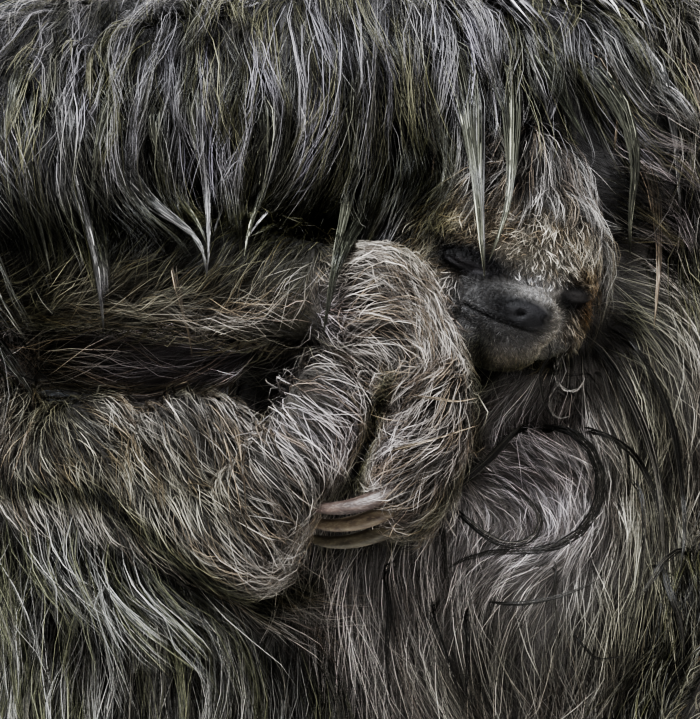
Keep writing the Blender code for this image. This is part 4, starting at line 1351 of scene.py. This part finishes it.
# %% [markdown]
# ## Claws
#
# A sloth's claws are long hooks of horn, deeper than wide, flat underneath, with shallow ridges along them.
# A curve with a bevel and a taper would give a plain hook. Rings of points along an arc, bridged in turn,
# let the section have its ridges and its flat. The material adds the fine grain.


# %% Claws
CLAW_DEPTH, CLAW_WIDTH = 0.0088, 0.0062
CLAW_RINGS, CLAW_SIDES = 28, 20


def claw(name, root, forward, curl, bend, first, last):
    """A hook that leaves the toe forward and curls down, from the first angle to the last."""
    side = forward.cross(curl).normalized()
    up = side.cross(forward).normalized()
    bm, previous = bmesh.new(), None
    for number in range(CLAW_RINGS + 1):
        share = number / CLAW_RINGS
        angle, start = math.radians(first + (last - first) * share), math.radians(first)
        along = bend * (math.sin(angle) - math.sin(start))
        down = -bend * (math.cos(angle) - math.cos(start))
        size = 0.06 + 0.94 * (1 - share**1.7) ** 0.8
        way = (forward * math.cos(angle) + up * math.sin(angle)).normalized()
        turn = Matrix((side, side.cross(way).normalized(), way)).transposed().to_4x4()
        place = Matrix.Translation(root + forward * along + up * down) @ turn
        found = set(bmesh.ops.create_circle(bm, cap_ends=False, segments=CLAW_SIDES, radius=0.5)["verts"])
        for vert in found:
            across, deep = vert.co.x, vert.co.y
            ridge = 1 + 0.035 * math.cos(6 * math.atan2(deep, across))
            flat = 0.82 if deep < -0.25 else 1.0
            wide, tall = across * CLAW_WIDTH * size * ridge * flat, deep * CLAW_DEPTH * size * ridge
            vert.co = Vector((wide, tall, 0))
            vert.co = place @ vert.co
        ring = list({edge for vert in found for edge in vert.link_edges})
        if previous:
            bmesh.ops.bridge_loops(bm, edges=previous + ring)
        previous = ring
    bmesh.ops.holes_fill(bm, edges=bm.edges, sides=0)
    bmesh.ops.recalc_face_normals(bm, faces=bm.faces)
    mesh = mesh_from(bm, name)
    mesh.shade_smooth()
    return placed(name, mesh)


CLAW_ROWS = {  # root of the first, forward, across the toes, spacing, radius of the bend, angles
    "hand_right": (
        at(-0.006, -0.128, 0.159), (-0.90, 0.18, -0.17), (0.10, 0.62, -0.78), 0.0084, 0.027, -52, 60,
    ),
    "foot_right": (at(-0.043, -0.112, 0.196), (0.0, 1.0, 0.0), (1.0, 0.0, 0.0), 0.0085, 0.032, -20, 70),
    "hand_left": (
        at(0.088, -0.162, 0.042), (-0.90, -0.20, -0.38), (0.20, 0.60, -0.79), 0.0088, 0.038, -55, 35,
    ),
    "foot_left": (at(0.038, -0.143, 0.009), (-0.94, -0.34, 0.0), (0.0, 0.30, 1.0), 0.0085, 0.032, -10, 80),
}
claws = []
for limb, (root, forward, sideways, spacing, bend, first, last) in CLAW_ROWS.items():
    forward, sideways = Vector(forward).normalized(), Vector(sideways).normalized()
    curl = sideways.cross(forward).normalized()
    for toe in range(3):
        place = root + sideways * spacing * toe
        claws.append((limb, toe, claw(f"horn_{limb}_{toe + 1}", place, forward, curl, bend, first, last)))
print(len(claws), "claws of", len(claws[0][2].data.polygons), "faces")

# %% [markdown]
# ## Materials
#
# Shader graphs read better as sums. A small class wraps a socket, so that + and * on it add the maths
# nodes, and one method makes any other node from its type, its settings and its inputs.


# %% Writing shaders as sums
AS_VECTOR, AS_NUMBER = 1, 2  # outputs of an Attribute node
OBJECT_PLACE = 3  # output of a Texture Coordinate node: places in the object's own axes
COLOUR_INPUTS, COLOUR_OUTPUT = (6, 7), 2  # sockets of a Mix node when it mixes colours


class Value:
    """The output of a node in a material."""

    def __init__(self, material, socket):
        self.material, self.socket = material, socket

    def _math(self, operation, first, second):
        return self.material.node("ShaderNodeMath", {"operation": operation}, {0: first, 1: second})

    def __add__(self, other):
        return self._math("ADD", self, other)

    def __sub__(self, other):
        return self._math("SUBTRACT", self, other)

    def __rsub__(self, other):
        return self._math("SUBTRACT", other, self)

    def __mul__(self, other):
        return self._math("MULTIPLY", self, other)

    def __pow__(self, other):
        return self._math("POWER", self, other)

    __radd__, __rmul__ = __add__, __mul__


class Material:
    """A material whose surface is one Principled shader."""

    def __init__(self, name):
        self.data = bpy.data.materials.new(name)
        self.data.use_nodes = True
        self.tree = self.data.node_tree
        self.shader = self.tree.nodes["Principled BSDF"]

    def node(self, kind, settings, values, output=0):
        made = self.tree.nodes.new(kind)
        for name, value in settings.items():
            setattr(made, name, value)
        for name, value in values.items():
            self.put(made.inputs[name], value)
        return Value(self, made.outputs[output])

    def put(self, socket, value):
        if isinstance(value, Value):
            self.tree.links.new(value.socket, socket)
        else:
            socket.default_value = value

    def attribute(self, name, output):
        return self.node("ShaderNodeAttribute", {"attribute_name": name}, {}, output)

    def noise(self, place, scale, detail=3.0):
        return self.node("ShaderNodeTexNoise", {}, {"Vector": place, "Scale": scale, "Detail": detail})

    def scaled(self, vector, factor):
        return self.node("ShaderNodeVectorMath", {"operation": "SCALE"}, {0: vector, "Scale": factor})

    def mixed(self, share, first, second):
        """A colour between two, the share going from 0 to 1."""
        settings = {"data_type": "RGBA", "clamp_factor": True}
        values = {0: share, **dict(zip(COLOUR_INPUTS, (first, second)))}
        return self.node("ShaderNodeMix", settings, values, COLOUR_OUTPUT)

    def surface(self, **sockets):
        for name, value in sockets.items():
            self.put(self.shader.inputs[name.replace("_", " ")], value)
        return self.data


print("one class for sums, one for materials")

# %% [markdown]
# Hair is dark at its root, where little light comes, and brighter along its length, and no two hairs are
# quite alike. Blender has a shader for hair curves, but an export keeps the Principled one. Wet hair is
# the glossier.


# %% Hair
def hair_material(name, roughness, root_shade):
    """Dark at the root, brighter along the hair, with each hair a little different."""
    made = Material(name)
    along, chance = made.attribute("along", AS_NUMBER), made.attribute("chance", AS_NUMBER)
    tone = (root_shade + (1 - root_shade) * along ** 0.7) * (0.45 + 1.10 * chance)
    colour = made.scaled(made.attribute("tint", AS_VECTOR), tone)
    return made.surface(Base_Color=colour, Roughness=roughness, Specular_IOR_Level=0.5)


wet_hair = hair_material("wet_hair", 0.34, 0.25)
woolly_hair = hair_material("woolly_hair", 0.45, 0.22)
print("two kinds of hair")

# %% [markdown]
# Between the hairs the hide shows, and there it has to read as more hair, deeper down in shade. It is
# painted dark for that shade, and streaks along the lie of the coat do the rest. The nose and lids are bare,
# and have pores.


# %% Hide
def skin_material():
    """Hide under the coat, painted dark as the shade deep in the coat, streaked along its lie, and bare
    leather on the nose and lids.
    """
    made = Material("hide")
    place = made.node("ShaderNodeTexCoord", {}, {}, OBJECT_PLACE)
    bare, fuzz = made.attribute("bare", AS_NUMBER), made.attribute("fuzz", AS_NUMBER)
    flow = made.attribute("flow", AS_VECTOR)
    shifted = [  # the same noise read at nine places along the lie of the coat draws it out in streaks
        made.node("ShaderNodeVectorMath", {"operation": "MULTIPLY_ADD"}, {0: flow, 1: (shift,) * 3, 2: place})
        for shift in np.linspace(-0.0026, 0.0026, 9)
    ]
    blurred = sum(made.noise(spot, 2400.0, 1.0) for spot in shifted) * (1 / 9)
    streak = made.node("ShaderNodeClamp", {}, {0: (blurred - 0.5) * 6.5 + 0.5})
    pores = made.node("ShaderNodeTexVoronoi", {}, {"Vector": place, "Scale": 1500.0}, 0)
    # painted shade: the hide between the hairs stays dark, as the deep coat is in shade
    tone = (1 - bare) * (0.03 + streak * (0.08 + 0.62 * fuzz)) + bare * (0.80 - 0.25 * pores)
    colour = made.scaled(made.attribute("tint", AS_VECTOR), tone)
    height = streak * (1 - bare) + pores * bare * 0.7
    bump = made.node("ShaderNodeBump", {}, {"Strength": 0.6, "Distance": 0.0006, "Height": height})
    return made.surface(Base_Color=colour, Roughness=0.70, Specular_IOR_Level=0.3, Normal=bump)


hide = skin_material()
print("hide with", len(hide.node_tree.nodes), "nodes")

# %% [markdown]
# Horn grows in fine fibres along the claw and is stained in patches. Noise that is drawn out along the
# claw gives both. The three claws of a limb differ in colour.


# %% Horn
def horn_material(name, bright, dark, streak):
    """Horn: fine ridges along the claw, mottled."""
    made = Material(name)
    place = made.node("ShaderNodeTexCoord", {}, {}, OBJECT_PLACE)
    drawn = made.node("ShaderNodeVectorMath", {"operation": "MULTIPLY"}, {0: place, 1: (0.22, 1, 1)})
    mottle = made.noise(drawn, 420.0, 4.0)
    grain = made.noise(drawn, 1900.0, 2.0)
    colour = made.mixed((mottle - 0.35) * 2.6, (*dark, 1), (*bright, 1))
    colour = made.mixed((grain - 0.52) * 3.0, colour, (*streak, 1))
    bump = made.node("ShaderNodeBump", {}, {"Strength": 0.35, "Distance": 0.0004, "Height": grain})
    return made.surface(Base_Color=colour, Roughness=0.44, Normal=bump)


horn_colours = [  # bright, dark and streak, for the first to the third toe
    ((0.118, 0.086, 0.072), (0.045, 0.031, 0.027), (0.20, 0.165, 0.145)),
    ((0.210, 0.172, 0.118), (0.080, 0.058, 0.045), (0.28, 0.24, 0.17)),
    ((0.120, 0.104, 0.072), (0.048, 0.041, 0.030), (0.16, 0.14, 0.10)),
]
horns = [horn_material(f"horn_{number + 1}", *colours) for number, colours in enumerate(horn_colours)]
print("materials:", len(bpy.data.materials))

# %% [markdown]
# ## Pieces and what they stand for
#
# Every piece rides on the one body of the model. The skin stands for all the solids of flesh, each claw
# for its own solid, and the coats lie on top.

# %% Skin and claws
FUZZ = {  # how pale the streaks of short hair on the skin are, under each coat
    "muzzle": 0.62,
    "face": 0.38,
    "belly": 0.38,
    "crown": 0.30,
    "forearm": 0.18,
    "shin": 0.16,
    "sleeve": 0.22,
    "mantle": 0.42,
}
USUAL_FUZZ = 0.20
flow = np.zeros((len(skin_points), 3))
for number, kind in enumerate(COATS):
    mine = vert_kind == number
    flow[mine] = brushed(skin_points[mine], STROKES[BRUSH.get(kind, kind)])
flow += 0.30 * wander(skin_points, 0.011, 6)
flow = normalised(flow - skin_normals * (flow * skin_normals).sum(1)[:, None])
# the hide carries the same painted shade and light as the hair over it
write_points(skin.data, "tint", coat_tint(skin_points, vert_kind) * painted_shade_at(skin_points)[:, None])
write_points(skin.data, "fuzz", np.array([FUZZ.get(kind, USUAL_FUZZ) for kind in COATS])[vert_kind])
write_points(skin.data, "bare", bareness(skin_points))
write_points(skin.data, "flow", flow)
skin.data.materials.clear()
skin.data.materials.append(hide)
skin.data.shade_smooth()
limbs = ("upper_arm", "forearm", "hand", "thigh", "shin", "foot")
flesh_nodes = [
    "belly", "chest", "neck", "head", "nose", "tail", "eyelid_left", "eyelid_right",
    *(f"{limb}_{side}" for limb in limbs for side in ("left", "right")),
]
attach(skin, "root")
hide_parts(*flesh_nodes)
for limb, toe, horn in claws:
    horn.data.materials.append(horns[toe])
    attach(horn, "root")
    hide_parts(f"claw_{limb}_{toe + 1}")
print("skin and", len(claws), "claws placed")

# %% Coat pieces
WET, SOFT = ("mantle_coat", wet_hair), ("mantle_coat", woolly_hair)
LIMB, FACE = ("limb_coat", woolly_hair), ("face_coat", woolly_hair)
mantle_right, mantle_left = halves(near["mantle"])
belly_right, belly_left = halves(near["belly"])
PIECES = {  # name: bundles, then slot and material
    "coat_mantle_1": ([mantle_right], *WET),
    "coat_mantle_2": ([mantle_left], *WET),
    "coat_locks": (locks, *WET),
    "coat_wisps": (wisps, *WET),
    "coat_forearm": ([near["sleeve"], near["forearm"]], *LIMB),
    "coat_shin": ([near["shin"]], *LIMB),
    "coat_thigh": ([near["thigh"]], *WET),
    "coat_belly_1": ([belly_right], *SOFT),
    "coat_belly_2": ([belly_left], *SOFT),
    "coat_face": ([near["face"], near["muzzle"]], *FACE),
    "coat_crown": ([near["crown"], far["crown"]], *FACE),
    "coat_left": ([near["left_arm"], near["left_leg"], far["left_arm"]], *WET),
    "coat_limbs_left": ([near["left_limbs"], far["left_limbs"]], *LIMB),
    "coat_limbs_far": ([far["sleeve"], far["forearm"], far["shin"]], *LIMB),
    "coat_back": ([far["back"], far["mantle"]], *WET),
    "coat_flank": ([near["flank"], far["flank"]], *WET),
    "coat_below": ([far["thigh"], far["belly"], far["left_leg"]], *WET),
}
total = 0
for name, (bundles, slot_name, finish) in PIECES.items():
    piece, triangles = hair_piece(name, bundles)
    piece.data.materials.append(finish)
    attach(piece, "root")
    total += triangles
print("coat triangles", total)

# %% [markdown]
# ## Floor and light
#
# Soft light from above and in front, as under an overcast sky, leaves the deep parts between the locks
# dark. The world is dim, so that nothing fills them.


# %% Floor, lights and world
def area_light(name, place, target, size, power, colour):
    """A round lamp that shines at a point."""
    data = bpy.data.lights.new(name, "AREA")
    data.shape, data.size, data.energy, data.color = "DISK", size, power, colour
    lamp = placed(name, data)
    lamp.location = place
    lamp.rotation_euler = (Vector(target) - Vector(place)).to_track_quat("-Z", "Y").to_euler()


floor_bm = bmesh.new()
bmesh.ops.create_circle(floor_bm, cap_ends=True, segments=64, radius=3.0)
floor = placed("floor", mesh_from(floor_bm, "floor"))
pale_floor = Material("pale_floor").surface(Base_Color=(0.62, 0.61, 0.60, 1), Roughness=0.8)
floor.data.materials.append(pale_floor)

area_light("sky", (-0.22, -0.70, 1.30), (0.0, -0.05, 0.22), 0.55, 40.0, (0.94, 0.97, 1.0))
area_light("front", (0.25, -2.0, 0.40), (0.0, -0.08, 0.20), 0.8, 11.0, (1.0, 0.98, 0.95))
area_light("rim", (0.5, 1.3, 1.0), (0.0, 0.05, 0.25), 1.0, 14.0, (1.0, 0.97, 0.93))

scene = bpy.context.scene
scene.world = bpy.data.worlds.new("studio")
scene.world.use_nodes = True
background = scene.world.node_tree.nodes["Background"].inputs
background["Color"].default_value = (0.55, 0.58, 0.62, 1)
background["Strength"].default_value = 0.12
scene.view_settings.view_transform, scene.view_settings.look = "AgX", "AgX - High Contrast"
print("3 lights")
